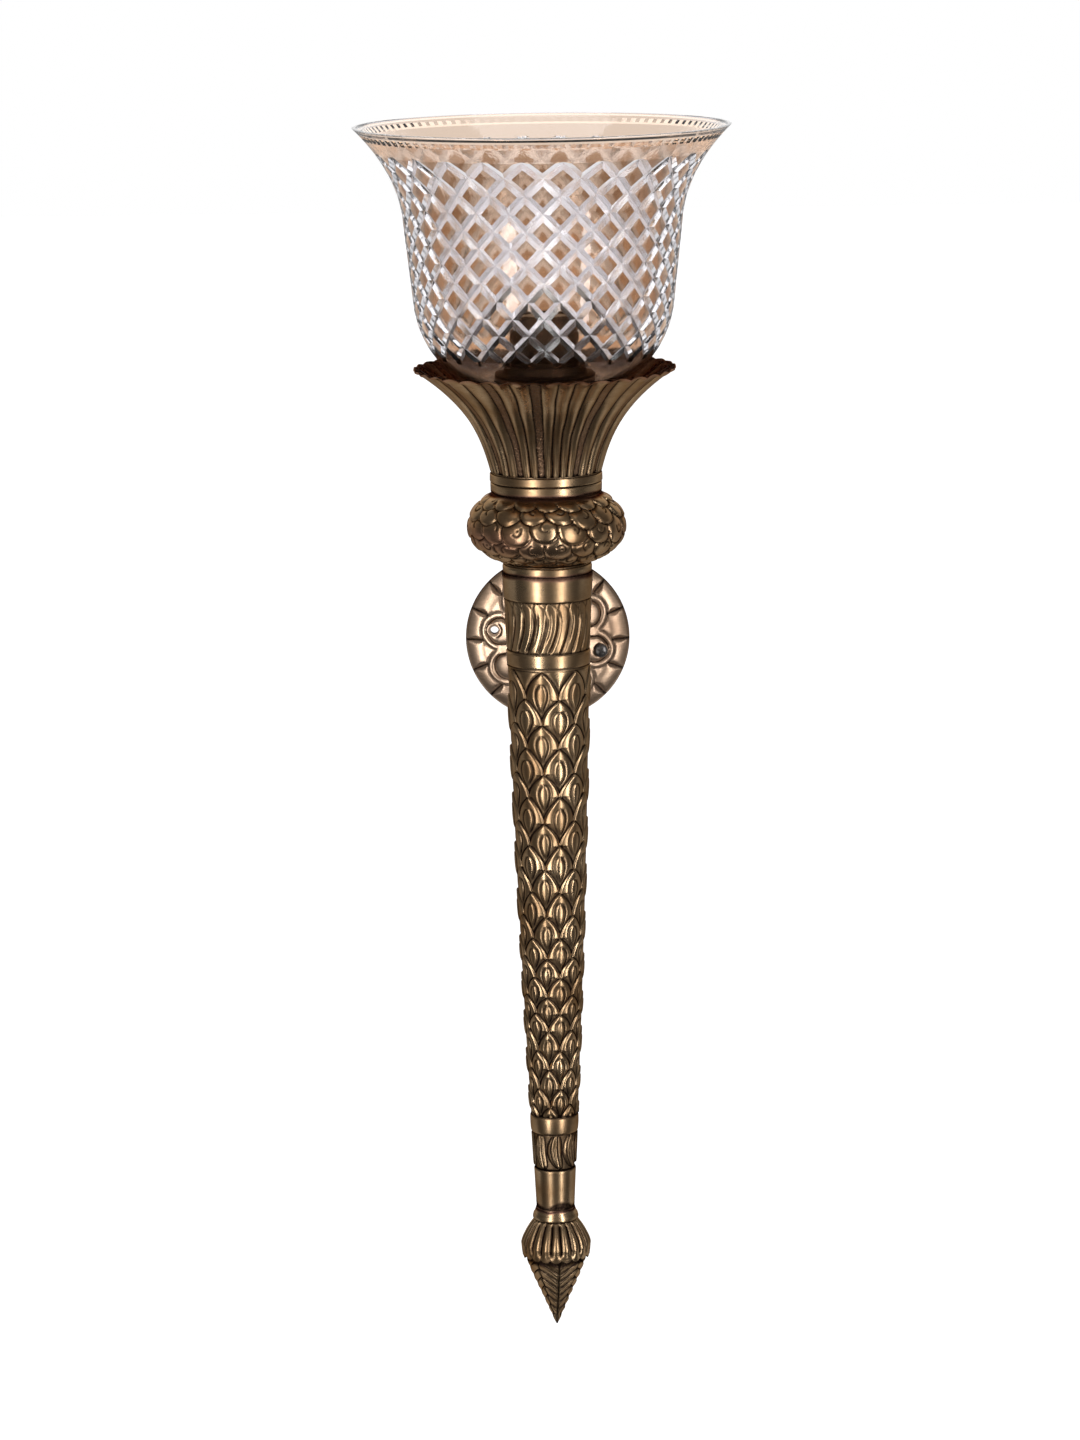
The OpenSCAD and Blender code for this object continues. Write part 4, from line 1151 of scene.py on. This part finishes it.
@dataclass
class Cup:
    """The fluted cup with a scalloped lip.

    Attributes:
        foot, high: the height of its foot, and how high it is.
        foot_r, lip_r: its radii.
        sheet: how thick it is.
        scallops, scallop: how many there are, and how deep.
        bands: the turns at which its stippled bands stand.
    """

    foot: float = 122.0
    high: float = 60.0
    foot_r: float = 31.8
    lip_r: float = 75.5
    sheet: float = 1.2
    scallops: int = 36
    scallop: float = 1.6
    bands: tuple = (-84, -56, -28, -5, 33, 62, 91, 121.8, 152.6, 183.4, 214.2, 245.0)

    def outline(self) -> Path:
        """Draws the outside from the foot to the lip.

        Returns:
            Its points.
        """
        r, lip, z, h = self.foot_r, self.lip_r, self.foot, self.high
        curve = bezier((r, z), (mix(r, lip, 0.115), z + h * 0.32), (mix(r, lip, 0.275), z + h * 0.65),
                       (lip, z + h), 90)
        return resample(curve, 1.0)

    def build(self) -> None:
        """Turns, chases and installs the cup."""
        outside = self.outline()
        piece = Turning("cup_chased", outside, sheet_of(outside, self.sheet, 2), 700, relief=self.chase,
                        through=True).build()
        install(piece, ANTIQUE, "torch", ["cup"])

    def chase(self, spots: Spots) -> Chasing:
        """Sinks stippled bands with ribs between them, scallops the lip, and paints the shade inside the cup.

        Args:
            spots: where the points of its skin lie.

        Returns:
            How they move and stain.
        """
        t = np.clip((spots.height - self.foot) / self.high, 0, 1)
        turn = spots.turn + wander(spots.turn, spots.height * 2, 6.0, 0.5)
        centres = np.array(sorted(((b + 180) % 360) - 180 for b in self.bands))
        wrapped = (turn + 180) % 360 - 180
        loop = np.concatenate([[centres[-1] - 360], centres, [centres[0] + 360]])
        place = np.clip(np.searchsorted(loop, wrapped) - 1, 0, len(loop) - 2)
        left, right = loop[place], loop[place + 1]
        to_mm = np.radians(1) * spots.radius
        band_half = 1.6 + 1.75 * t ** 1.3
        from_left, from_right = (wrapped - left) * to_mm - band_half, (right - wrapped) * to_mm - band_half
        nearest = np.minimum(from_left, from_right)
        spare = self.lip_r - spots.radius
        head, head_round = spare - 3.0, 1.8
        arch = np.sqrt(np.clip(1 - (np.clip(head_round - head, 0, 9) / head_round) ** 2, 0, 1))
        in_band = (nearest + band_half * (1 - arch) < 0) & (head > 0)
        ribs = np.where(right - left > 34, 4, 2)
        span = from_left + from_right
        u = np.clip(from_left / np.maximum(span, 1e-6), 0, 1) * ribs
        crest = np.abs(np.sin(np.pi * u)) ** 0.75
        fade = ease(spare, 0.6, 3.6)
        rise = np.where(in_band, -0.9, (-1.2 + 1.7 * crest) * fade)
        groove = np.where(in_band, 0, line(np.abs(u - np.rint(u)) * span / ribs, 0.6)) * fade
        rim_of_band = np.where(in_band, line(nearest, 0.7), 0)
        ripple = 1 - np.abs(np.sin(np.radians(spots.turn) * self.scallops / 2)) ** 0.8
        edge = ease(spots.radius, self.lip_r - 3.5, self.lip_r - 0.2)
        drop = -self.scallop * ripple * ease(spots.radius, self.lip_r - 6.0, self.lip_r)
        outside = spots.skin > 0
        foot_dark = line(spots.height - self.foot, 0.9)
        tarnish_and_shade = np.where(in_band, 0.3, 0) + groove + 0.5 * rim_of_band + 0.7 * foot_dark
        # The inside of the cup is painted dark all over, a painted shade of its hollow.
        tarnish_and_shade = np.where(outside, tarnish_and_shade, 0.72 + 0.2 * groove) * (1 - 0.8 * edge * outside)
        copper = np.where(outside, 0.6 * edge + 0.3 * in_band, 0.5)
        return Chasing(rise * np.where(outside, 1, 0.8), np.clip(tarnish_and_shade, 0, 1), copper=copper, drop=drop,
                       stipple=np.where(in_band & outside, 1.0, 0.0))


@dataclass
class Shade:
    """The bell shaped glass with its net of wheel cuts.

    Attributes:
        foot, high: the height of its foot, and how high it is.
        rim_r, throat_r, barrel_r, foot_r: its radii from the rim down.
        glass: how thick it is.
        pad, pad_hole_r: how thick its seat is, and the radius of the hole in it.
        diamonds: how many cut diamonds there are round it.
        per_half: how many rings of points each half diamond has.
        cut_heights: the heights at which the cuts cross, from the top.
        cut_depth: how deep they go.
        table: how much of each diamond is left uncut.
        notch_down, notch_half, notch_deep: how far below the rim its notches are, half their height, their depth.
        crease: the angle past which an edge is sharp.
    """

    foot: float = 170.0
    high: float = 150.0
    rim_r: float = 108.0
    throat_r: float = 80.5
    barrel_r: float = 74.7
    foot_r: float = 33.0
    glass: float = 3.0
    pad: float = 4.0
    pad_hole_r: float = 21.4
    diamonds: int = 26
    per_half: int = 4
    cut_heights: tuple = (305.2, 296, 286, 275.9, 265.9, 256.2, 246.5, 236.7, 226.8, 216.9, 207.2, 198.8, 191.3)
    cut_depth: float = 1.15
    table: float = 0.6
    notch_down: float = 4.5
    notch_half: float = 1.6
    notch_deep: float = 0.7
    crease: float = 9.0

    def outline(self) -> Path:
        """Draws the outside from the foot to the rim.

        Returns:
            Its points.
        """
        z, h = self.foot, self.high
        zb, zt, top = z + h * 0.325, z + h * 0.68, z + h
        belly = bezier((self.foot_r, z + 1), (mix(self.foot_r, self.barrel_r, 0.53), z + 4), (72.0, mix(z, zb, 0.5)),
                       (self.barrel_r, zb), 60)
        flare = bezier((self.throat_r, zt), (82.5, mix(zt, top, 0.28)), (mix(self.throat_r, self.rim_r, 0.38),
                       mix(zt, top, 0.65)), (self.rim_r - 0.6, top - 0.8), 60)
        return resample(belly + flare, 0.25)

    def stations(self) -> tuple[Path, list[float]]:
        """Sets out the rings of the outside so that the cuts fall on them.

        Returns:
            The outside's points, and each point's half row counted down from the top of the cuts.
        """
        path = np.array(self.outline())
        run = run_of(path)
        marks = np.interp(self.cut_heights, path[:, 1], run)
        start, rows = float(marks[0]), len(marks) - 1
        stops = [(float(np.interp(i / self.per_half, range(rows + 1), marks)), i / self.per_half)
                 for i in range(rows * self.per_half + 1)]
        above = [(s, -1 + 0.5 * (run[-1] - s) / (run[-1] - start)) for s in np.linspace(run[-1], start, 14)[:-1]]
        below = [(s, rows + 1.0) for s in np.linspace(marks[-1], 0, 14)[1:]]
        ordered = sorted(above + stops + below)
        return points_at(path, [s for s, _ in ordered]), [q for _, q in ordered]

    def build(self) -> None:
        """Turns the glass, cuts it and installs it."""
        outside, order = self.stations()
        inner = wall_of(resample(outside, 4.0), self.glass)
        inner = [(r, h) for r, h in inner if h > self.foot + self.pad + 1.5 and r > self.pad_hole_r + 4]
        rim = [(self.rim_r, self.foot + self.high - 0.3), (self.rim_r - 0.9, self.foot + self.high),
               (inner[-1][0] + 0.4, self.foot + self.high)]
        pad = [(self.pad_hole_r + 3, self.foot + self.pad), (self.pad_hole_r, self.foot + self.pad),
               (self.pad_hole_r, self.foot), (self.foot_r - 1, self.foot)]
        columns = self.diamonds * 2 * self.per_half
        piece = Turning("shade_cut", outside, rim + inner[::-1] + pad, columns, crease=self.crease).build()
        self.cut(piece.data, np.array(outside), np.array(order))
        smooth(piece.data, self.crease)
        install(piece, GLASS, "shade", ["glass_shade"])

    def middles(self, x: Field, q: Field) -> tuple[Field, Field]:
        """Finds the diamond that each point is in.

        Args:
            x, q: its place on the net, in half diamonds round and half rows down.

        Returns:
            The place of that diamond's middle.
        """
        def column(row: Field) -> Field:
            """Returns the nearest middle round in a row."""
            return np.where(row % 2 == 0, 2 * np.rint(x / 2), 2 * np.rint((x - 1) / 2) + 1)

        row = np.rint(q)
        past = np.abs(x - column(row)) + np.abs(q - row) > 1 + 1e-6
        row = np.where(past, row + np.sign(q - row), row)
        return column(row), row

    def cut(self, mesh: bpy.types.Mesh, path: Field, order: Field) -> None:
        """Pokes the faces of the cut zone, sinks the net of cuts into it and notches the rim.

        Args:
            mesh: the turned glass, in metres.
            path: the outside's points.
            order: their half rows, counted down from the top of the cuts.
        """
        count, rows = len(order), len(self.cut_heights) - 1
        shape = bmesh.new()
        shape.from_mesh(mesh)
        station = shape.verts.layers.float["station"]
        zone = [f for f in shape.faces
                if all(v[station] < count and -0.6 <= order[round(v[station])] < rows + 1 for v in f.verts)]
        bmesh.ops.poke(shape, faces=zone, center_mode="MEAN")
        points = np.array([v.co for v in shape.verts]) / MM
        stations = np.array([v[station] for v in shape.verts])
        turn = np.degrees(np.arctan2(points[:, 0], AXIS_Y - points[:, 1]))
        radius = np.hypot(points[:, 0], points[:, 1] - AXIS_Y)
        low = np.clip(np.floor(stations).astype(int), 0, count - 1)
        high = np.clip(low + 1, 0, count - 1)
        outside = stations <= count - 1 + 1e-6
        q = mix(order[low], order[high], stations - low)
        x = turn / (180 / self.diamonds)
        centre_x, centre_y = self.middles(x, q)
        dx, dy = x - centre_x, q - centre_y
        size = np.abs(dx) + np.abs(dy)
        live = outside & (q > -1e-6) & (q < rows + 1e-6)
        move = live & ~((centre_y < 0.5) & (dy < -1e-6))
        table = self.table
        out = np.where(size <= 0.5, size * table / 0.5, table + (size - 0.5) * (1 - table) / 0.5)
        stretch = np.where(size > 1e-6, out / np.maximum(size, 1e-6), 1)
        new_x = np.where(move, centre_x + dx * stretch, x)
        new_q = np.where(move, centre_y + dy * stretch, q)
        depth = np.where(move, self.cut_depth * np.clip((out - table) / (1 - table), 0, 1), 0)
        keep = (order >= 0) & (order <= rows)
        ring_q, ring = order[keep][::-1], path[keep][::-1]
        heading = heading_of(ring)
        base_r, base_z = np.interp(new_q, ring_q, ring[:, 0]), np.interp(new_q, ring_q, ring[:, 1])
        out_r, out_z = np.interp(new_q, ring_q, -heading[:, 1]), np.interp(new_q, ring_q, heading[:, 0])
        side = np.sign(out_r)
        a = np.radians(np.where(live, new_x * (180 / self.diamonds), turn))
        r = np.where(live, base_r - out_r * side * depth, radius)
        z = np.where(live, base_z - out_z * side * depth, points[:, 2])
        down = np.abs(points[:, 2] - (self.foot + self.high - self.notch_down))
        every_other = np.rint(x * self.per_half).astype(int) % 2 == 0
        r = np.where(outside & every_other & (down < self.notch_half) & (q < 0), r - self.notch_deep, r)
        for vert, turned, wide, level in zip(shape.verts, a, r, z):
            vert.co = Vector((wide * math.sin(turned), AXIS_Y - wide * math.cos(turned), level)) * MM
        self.mark(shape, outside, live, np.where(move, size, 0))
        shape.to_mesh(mesh)
        shape.free()

    def mark(self, shape: bmesh.types.BMesh, outside: Field, live: Field, reach: Field) -> None:
        """Tells the glass's finish which faces are flashed amber and which are cut.

        Args:
            shape: the cut glass.
            outside: which points are on its outside.
            live: which points are in the cut zone.
            reach: how far each point was from its diamond's middle.
        """
        flash, satin = shape.faces.layers.float.new("flash"), shape.faces.layers.float.new("satin")
        shape.verts.index_update()
        for face in shape.faces:
            ids = [v.index for v in face.verts]
            skin = all(outside[i] for i in ids)
            cut = skin and np.mean(reach[ids]) > 0.5
            face[flash] = 0.0 if cut or not skin else 1.0 if all(live[i] for i in ids) else 0.55
            face[satin] = 1.0 if cut else 0.0


@dataclass
class Finial:
    """The ribbed bulb with a toothed skirt, and the veined spear point below it.

    Attributes:
        top, skirt, tip: the heights of the bulb's top, its skirt's edge and the spear's tip.
        widest, skirt_r: the bulb's radii.
        ribs: how many there are round it.
        teeth: how long the skirt's teeth are.
        spear_flank: (radius, height) up the spear.
    """

    top: float = -325.0
    skirt: float = -350.0
    tip: float = -395.0
    widest: float = 20.9
    skirt_r: float = 19.65
    ribs: int = 20
    teeth: float = 2.0
    spear_flank: tuple = ((0.35, -395.0), (0.9, -393.8), (2.4, -391.0), (5.6, -383.6), (8.7, -376.0), (12.1, -368.4),
                          (15.2, -361.0), (17.4, -355.0), (18.3, -350.5))

    def bulb_outline(self) -> Path:
        """Draws the outside of the bulb from its skirt up to its neck.

        Returns:
            Its points.
        """
        w, top, h = self.widest, self.top, self.top - self.skirt
        curve = bezier((12.6, top - 3.6), (w * 0.7, top - h * 0.25), (w * 0.95, top - h * 0.52),
                       (w * 0.985, top - h * 0.74), 50)
        down = [(12.9, top), (13.3, top - 1.4), (13.4, top - 3)] + curve
        down += [(mix(self.skirt_r, w, 0.45), top - h * 0.88), (self.skirt_r, self.skirt + 0.5)]
        return resample(down[::-1], 0.4)

    def build(self) -> None:
        """Makes the bulb and the spear and installs them."""
        outside = self.bulb_outline()
        inside = [(11.0, self.top), (11.0, self.top - 6), (16.0, -343.0), (self.skirt_r - 1.1, self.skirt + 1)]
        bulb = Turning("bulb_ribbed", outside, inside, 400, relief=self.chase_bulb).build()
        install(bulb, ANTIQUE, "torch", ["finial_bulb"])
        flank = resample(list(self.spear_flank), 0.36)
        spear = Turning("spear_veined", flank, [(5.0, -349.5), (0.3, -349.5), (0.02, -375.0), (0.02, self.tip + 0.02)],
                        320, relief=self.chase_spear).build()
        install(spear, ANTIQUE, "torch", ["finial_spear"])

    def chase_bulb(self, spots: Spots) -> Chasing:
        """Raises round ribs between dark valleys and draws the skirt down into teeth.

        Args:
            spots: where the points of its skin lie.

        Returns:
            How they move and stain.
        """
        turn = spots.turn + wander(spots.turn, spots.height * 2, 8.0, 0.7)
        place = turn / (360 / self.ribs)
        across = np.abs(place - np.rint(place))
        t = np.clip((self.top - 3.0 - spots.height) / 21.5, 0, 1)
        zone = ease(t, 0.0, 0.12) * (1 - ease(t, 0.8, 0.97))
        crest = np.clip(np.cos(np.pi * across), 0, 1) ** 0.6
        rise = 0.3 - 1.8 * (1 - crest) * zone
        valley = line((0.5 - across) * np.radians(360 / self.ribs) * spots.radius, 0.95) * zone
        neck = line(spots.height - self.top + 3.2, 0.6)
        foot = ease(-spots.height, 345.0, 350.0)
        drop = -self.teeth * np.clip(np.cos(np.pi * across), 0, 1) ** 0.7 * foot
        low_edge = ease(-spots.height, 348.4, 349.4)
        tarnish_and_shade = valley + 0.9 * neck + 0.95 * low_edge
        return Chasing(rise - 0.3 * neck, np.clip(tarnish_and_shade, 0, 1), drop=drop)

    def chase_spear(self, spots: Spots) -> Chasing:
        """Cuts four leaves, each with a dark mid vein and side veins that slope down to it, and paints the shadow under
        the bulb's skirt.

        Args:
            spots: where the points of its skin lie.

        Returns:
            How they move and stain.
        """
        place = (spots.turn - 6) / 90
        away = (place - np.rint(place)) * 90
        mm = np.radians(np.abs(away)) * spots.radius
        fall = spots.height - 0.9 * mm + 0.02 * mm ** 2 + 0.3 * np.sin(np.radians(spots.turn) * 3)
        vein_apart = 5.0
        wave = (fall % vein_apart) / vein_apart
        side = np.where(wave < 0.72, ease(wave, 0, 0.72), 1 - ease(wave, 0.72, 1))
        mid = line(mm, 0.65)
        seam = line(np.radians(45 - np.abs(away)) * spots.radius, 0.45)
        live = ease(spots.radius, 1.6, 4.0)
        rise = (-0.75 + 0.75 * side) * live * ease(mm, 0.2, 1.4) - 0.7 * mid * live - 0.5 * seam * live
        dark = 0.95 * line((wave - 0.9) * vein_apart, 0.65) * ease(mm, 0.2, 1.2) * live
        tip = ease(-spots.height, 391.0, 394.5)
        # The top of the spear under the bulb's skirt is painted dark, a painted shadow.
        skirt_shadow = ease(spots.height, -356.0, -352.3)
        tarnish_and_shade = np.maximum(0.95 * mid * live, dark) + 0.6 * seam * live + 0.85 * tip + 0.8 * skirt_shadow
        return Chasing(rise, np.clip(tarnish_and_shade, 0, 1))


@dataclass
class WallPlate:
    """The embossed wall plate, with sixteen petals round eight fingers, and its screw.

    Attributes:
        rim_r: its radius.
        sheet: how thick it is.
        high: how far its middle stands off the wall.
        arm_hole_r, screw_hole_r: the radii of its holes.
        fingers, finger_phase: how many there are, and where the first one points.
        finger_tip, finger_half: the radius where a finger's round end starts, and half its width.
        petals: how many there are.
        holes: where its screw holes are.
        seat: how far off the wall the flat round each screw hole is.
        head_r, head_foot, head_top: the screw head's radius and how far off the wall it starts and ends.
        shank_r: the screw's radius.
    """

    rim_r: float = 50.0
    sheet: float = 1.2
    high: float = 15.0
    arm_hole_r: float = 6.2
    screw_hole_r: float = 2.5
    finger_phase: float = -11.5
    fingers: int = 8
    finger_tip: float = 29.0
    finger_half: float = 8.0
    petals: int = 16
    holes: tuple = ((32.34, -6.58), (-32.34, 6.58))
    seat: float = 11.9
    head_r: float = 4.2
    head_foot: float = 12.0
    head_top: float = 15.0
    shank_r: float = 1.9

    def outline(self) -> Path:
        """Draws the front from the rim in to the arm's hole.

        Returns:
            Its points, as (radius, distance off the wall).
        """
        roll = bezier((self.rim_r, 0), (self.rim_r, 2.8), (self.rim_r - 0.1, 4.3), (48.7, 5.2), 12)
        roll += bezier((48.7, 5.2), (45.8, 6.8), (42, 8.5), (38, 9), 20)[1:]
        dish = [(mix(38, 17, t), mix(9, self.high, t)) for t in (0.18, 0.45, 0.75, 1)]
        return resample(roll + dish + [(self.arm_hole_r, self.high)], 0.5)

    def build(self) -> None:
        """Turns, embosses, pierces and installs the plate, then makes the screw."""
        front = self.outline()
        back = [(max(r - 0.3, self.arm_hole_r) if h > 8 else r - self.sheet, max(h - self.sheet, 0.0))
                for r, h in front[::-1]]
        back = [(r, h) for r, h in back if r < self.rim_r - 1.0 and h > 0.2][::2]
        plate = Turning("plate_embossed", front, back + [(self.rim_r - self.sheet, 0.0)], 420,
                        spindle=Spindle.WALL, relief=self.chase, through=True).build()
        self.pierce(plate)
        install(plate, PLATE, "torch", ["wall_plate"])
        self.screw()

    def pierce(self, plate: bpy.types.Object) -> None:
        """Cuts the two screw holes through the sheet, with a tool that stops short of the wall.

        Args:
            plate: the embossed plate.
        """
        near, far, radius = 0.1 * MM, 24.7 * MM, self.screw_hole_r * MM
        shape = bmesh.new()
        for x, z in self.holes:
            place = Matrix.Translation((x * MM, -(near + far) / 2, z * MM)) @ Matrix.Rotation(math.pi / 2, 4, "X")
            bmesh.ops.create_cone(shape, cap_ends=True, segments=40, radius1=radius, radius2=radius,
                                  depth=far - near, matrix=place)
        cut_away(plate, shape)

    def chase(self, spots: Spots) -> Chasing:
        """Raises the fingers, pinches the petals, flattens the screw seats and darkens the creases.

        Args:
            spots: where the points of its skin lie.

        Returns:
            How they move and stain.
        """
        turn = spots.turn + wander(spots.turn, spots.radius, 11.0, 0.8)
        r = spots.radius
        pitch = 360 / self.fingers
        place = (turn - self.finger_phase) / pitch
        away = np.radians((place - np.rint(place)) * pitch)
        along, across = r * np.cos(away), r * np.sin(away)
        beyond = np.maximum(along - self.finger_tip, 0)
        reach = np.hypot(beyond, across)
        widen = np.clip(along / self.finger_tip, 0.35, 1)
        half = np.where(beyond > 0, self.finger_half, self.finger_half * widen)
        inner = reach / half
        dome = np.sqrt(np.clip(1 - np.clip(inner, 0, 1) ** 2.4, 0, 1))
        bearing = np.degrees(np.arctan2(across, along - self.finger_tip + 1e-6))
        cap = 1 - ease(np.abs(bearing), 78, 100)
        first = line(reach - half - 0.3, 0.55) * ease(r, 17, 22)
        second = line(reach - 12.4, 0.55) * cap
        ridge = line(reach - 10.3, 1.3) * cap
        petal = turn / (360 / self.petals)
        petal_away = np.abs(petal - np.rint(petal)) * np.radians(360 / self.petals) * r
        in_petal = ease(r, 38.5, 41.0) * (1 - ease(r, 49.2, self.rim_r))
        crease = line(petal_away, 0.4 + 1.0 * ease(r, 38, 43) * (1 - ease(r, 44, 49))) * in_petal
        rise = 1.9 * dome * ease(r, 15, 20) - 0.5 * first - 0.4 * second + 0.45 * ridge
        rise = rise - 1.3 * crease
        rise = rise + 0.3 * np.sin(np.pi * np.clip((r - 39) / 10.5, 0, 1)) * (1 - line(petal_away, 2.6))
        seat = np.zeros_like(r)
        for x, z in self.holes:
            spot = np.hypot(r * np.cos(np.radians(spots.turn)) - x, r * np.sin(np.radians(spots.turn)) - z)
            seat = np.maximum(seat, 1 - ease(spot, 3.8, 5.4))
        front = spots.skin > 0
        level = np.where(front, self.seat, self.seat - self.sheet)
        rise = mix(rise, level - spots.height, seat)
        rise = rise * (1 - ease(r, 49.4, self.rim_r))
        dark_crease = line(petal_away, 0.3 + 0.5 * ease(r, 38, 44)) * in_petal
        tarnish_and_shade = 0.9 * first + 0.75 * second * cap + dark_crease
        rim = ease(r, 49.3, 49.9)
        tarnish_and_shade = np.where(front, np.clip(tarnish_and_shade + 0.7 * rim, 0, 1), 0.4)
        return Chasing(rise, tarnish_and_shade, copper=0.25 * rim)

    def screw(self) -> None:
        """Makes the pan head wall screw in the right hand hole, with a cross recess."""
        x, z = self.holes[0]
        r, foot, top = self.head_r, self.head_foot, self.head_top
        profile = [(0.0, 0.5), (self.shank_r, 0.5), (self.shank_r, foot), (r, foot), (r, foot + 0.7)]
        profile += bezier((r, foot + 0.7), (r - 0.1, top - 0.7), (r - 1.6, top), (0.0, top), 10)[1:]
        shape = bmesh.new()
        verts = [shape.verts.new((radius, -height, 0)) for radius, height in profile]
        for one, other in zip(verts, verts[1:]):
            shape.edges.new((one, other))
        bmesh.ops.spin(shape, geom=verts + list(shape.edges), cent=(0, 0, 0), axis=(0, 1, 0), angle=math.tau,
                       steps=48, use_merge=True)
        bmesh.ops.remove_doubles(shape, verts=shape.verts, dist=1e-3)
        bmesh.ops.recalc_face_normals(shape, faces=shape.faces)
        bmesh.ops.translate(shape, verts=shape.verts, vec=(x, 0, z))
        bmesh.ops.scale(shape, verts=shape.verts, vec=(MM, MM, MM))
        screw = set_out("wall_screw", mesh_of(shape, "wall_screw"))
        cross = bmesh.new()
        for turn in (25, 115):
            place = Matrix.Translation((x * MM, -top * MM, z * MM)) @ Matrix.Rotation(math.radians(turn), 4, "Y")
            bmesh.ops.create_cube(cross, size=1.0, matrix=place @ Matrix.Diagonal((5.2 * MM, 2.4 * MM, 1.1 * MM, 1)))
        cut_away(screw, cross, crossing=True)
        smooth(screw.data, 35)
        install(screw, SCREW_STEEL, "torch", [])


@dataclass
class Fittings:
    """The CAD nodes that keep their own shape, each with its finish."""

    finishes: dict = field(default_factory=lambda: {
        ARM: ["arm_tube", "arm_rosette", "arm_saddle"],
        BARE: ["arm_back_nut", "arm_inner_nut", "stud_nut", "through_stud", "stem", "gallery", "screw_shell",
               "centre_contact", "terminals"],
        BRONZE: ["holder_cap", "holder_shell", "shade_ring"],
        STEEL: ["terminal_bracket", "arm_back_washer", "arm_inner_saddle", "stud_washer", "earth_tag"],
        BLOCK: ["terminal_block"],
        RUBBER: ["gasket"],
        CERAMIC: ["holder_insulator", "holder_liner"],
        FIBRE: ["fibre_washer"],
        BROWN: ["wire_live"],
        BLUE: ["wire_neutral"],
        EARTH: ["wire_earth"],
    })

    def dress(self) -> None:
        """Puts each finish on its nodes."""
        for finish, names in self.finishes.items():
            for name in names:
                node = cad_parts[name]
                node.data.materials.clear()
                node.data.materials.append(finish.material())
            LOG.info("%s on %d nodes", finish.name, len(names))


@dataclass
class Studio:
    """Pale floor, plain soft light and the photograph's camera. Lengths here are metres.

    Attributes:
        camera_at: where the camera stands.
        pitch, roll: how far it looks down, and how far it is rolled, in degrees.
        lens: its focal length in mm.
        floor_z: the height of the floor.
        floor_half: half the floor's side.
        floor_back: how far back its middle is.
    """

    camera_at: tuple = (-0.0054, -2.645, 0.493)
    pitch: float = 11.64
    roll: float = 0.77
    lens: float = 110.0
    floor_z: float = -1.0
    floor_half: float = 7.2
    floor_back: float = 7.08

    def build(self) -> None:
        """Sets out the camera, the lamps, the world and the floor."""
        self.place_camera()
        self.hang_lamps()
        self.light_world()
        self.lay_floor()
        bpy.context.scene.view_settings.view_transform = "Standard"

    def place_camera(self) -> None:
        """Makes the camera: pitched down, and rolled a little."""
        p, roll = math.radians(self.pitch), math.radians(self.roll)
        forward = Vector((0, math.cos(p), -math.sin(p)))
        up, right = Vector((0, math.sin(p), math.cos(p))), Vector((1, 0, 0))
        side = math.cos(roll) * right - math.sin(roll) * up
        top = math.sin(roll) * right + math.cos(roll) * up
        data = bpy.data.cameras.new("camera")
        data.sensor_fit, data.sensor_height, data.lens = "VERTICAL", 36.0, self.lens
        camera = set_out("camera", data)
        axes = Matrix((side, top, -forward)).transposed().to_4x4()
        camera.matrix_world = Matrix.Translation(self.camera_at) @ axes
        bpy.context.scene.camera = camera

    def lamp(self, name: str, at: tuple, aim: tuple, size: tuple, power: float) -> None:
        """Hangs one soft box.

        Args:
            name: its name.
            at: its middle.
            aim: the point it faces.
            size: its width and height.
            power: its power in watts.
        """
        data = bpy.data.lights.new(name, "AREA")
        data.shape, data.size, data.size_y, data.energy = "RECTANGLE", size[0], size[1], power
        way = Vector(aim) - Vector(at)
        box = set_out(name, data)
        box.matrix_world = Matrix.Translation(at) @ way.to_track_quat("-Z", "Y").to_matrix().to_4x4()

    def hang_lamps(self) -> None:
        """Hangs two soft boxes in front, left and right, and one overhead."""
        middle = (0, -0.1, -0.05)
        self.lamp("soft_left", (-1.1, -2.2, 0.0), middle, (0.42, 2.5), 40)
        self.lamp("soft_right", (1.35, -2.0, -0.05), middle, (0.34, 2.5), 33)
        self.lamp("soft_top", (0, -0.5, 1.9), middle, (1.6, 1.0), 8)

    def light_world(self) -> None:
        """Makes a sky that is white to the camera and through the glass, and to metal white behind and dim in front."""
        world = bpy.data.worlds.new("studio")
        bpy.context.scene.world = world
        world.use_nodes = True
        bench = NodeBench(world.node_tree)
        parts = bench.add("SeparateXYZ", {0: bench.add("TexCoord").outputs["Generated"]})
        rays = bench.add("LightPath")
        behind = bench.range(parts.outputs[1], 0.3, 0.95, 0.0, 1.0)
        above = bench.range(parts.outputs[2], -0.6, 0.9, 0.04, 0.16)
        through = bench.sum("GREATER_THAN", rays.outputs["Transmission Depth"], 0.5)
        seen = bench.sum("MAXIMUM", rays.outputs["Is Camera Ray"], through)
        shown = bench.range(rays.outputs["Is Glossy Ray"], 0, 1, 0.42, bench.sum("ADD", behind, above))
        sky = bench.add("Background", {"Color": (1, 1, 1, 1), "Strength": bench.sum("MAXIMUM", seen, shown)})
        bench.add("OutputWorld", {"Surface": sky.outputs[0]})

    def lay_floor(self) -> None:
        """Lays a wide pale floor well below the tip."""
        shape = bmesh.new()
        bmesh.ops.create_grid(shape, x_segments=1, y_segments=1, size=self.floor_half,
                              matrix=Matrix.Translation((0, self.floor_back, self.floor_z)))
        floor = set_out("floor", mesh_of(shape, "floor"))
        floor.data.materials.append(PAPER.material())


def main() -> None:
    """Builds the sconce's sub-assemblies in order, then the studio."""
    logging.basicConfig(level=logging.INFO, format="%(message)s")
    Studio().build()
    Fittings().dress()
    WallPlate().build()
    Shaft().build()
    Rings().build()
    Knob().build()
    Cup().build()
    Finial().build()
    Shade().build()


if __name__ == "__main__":
    main()
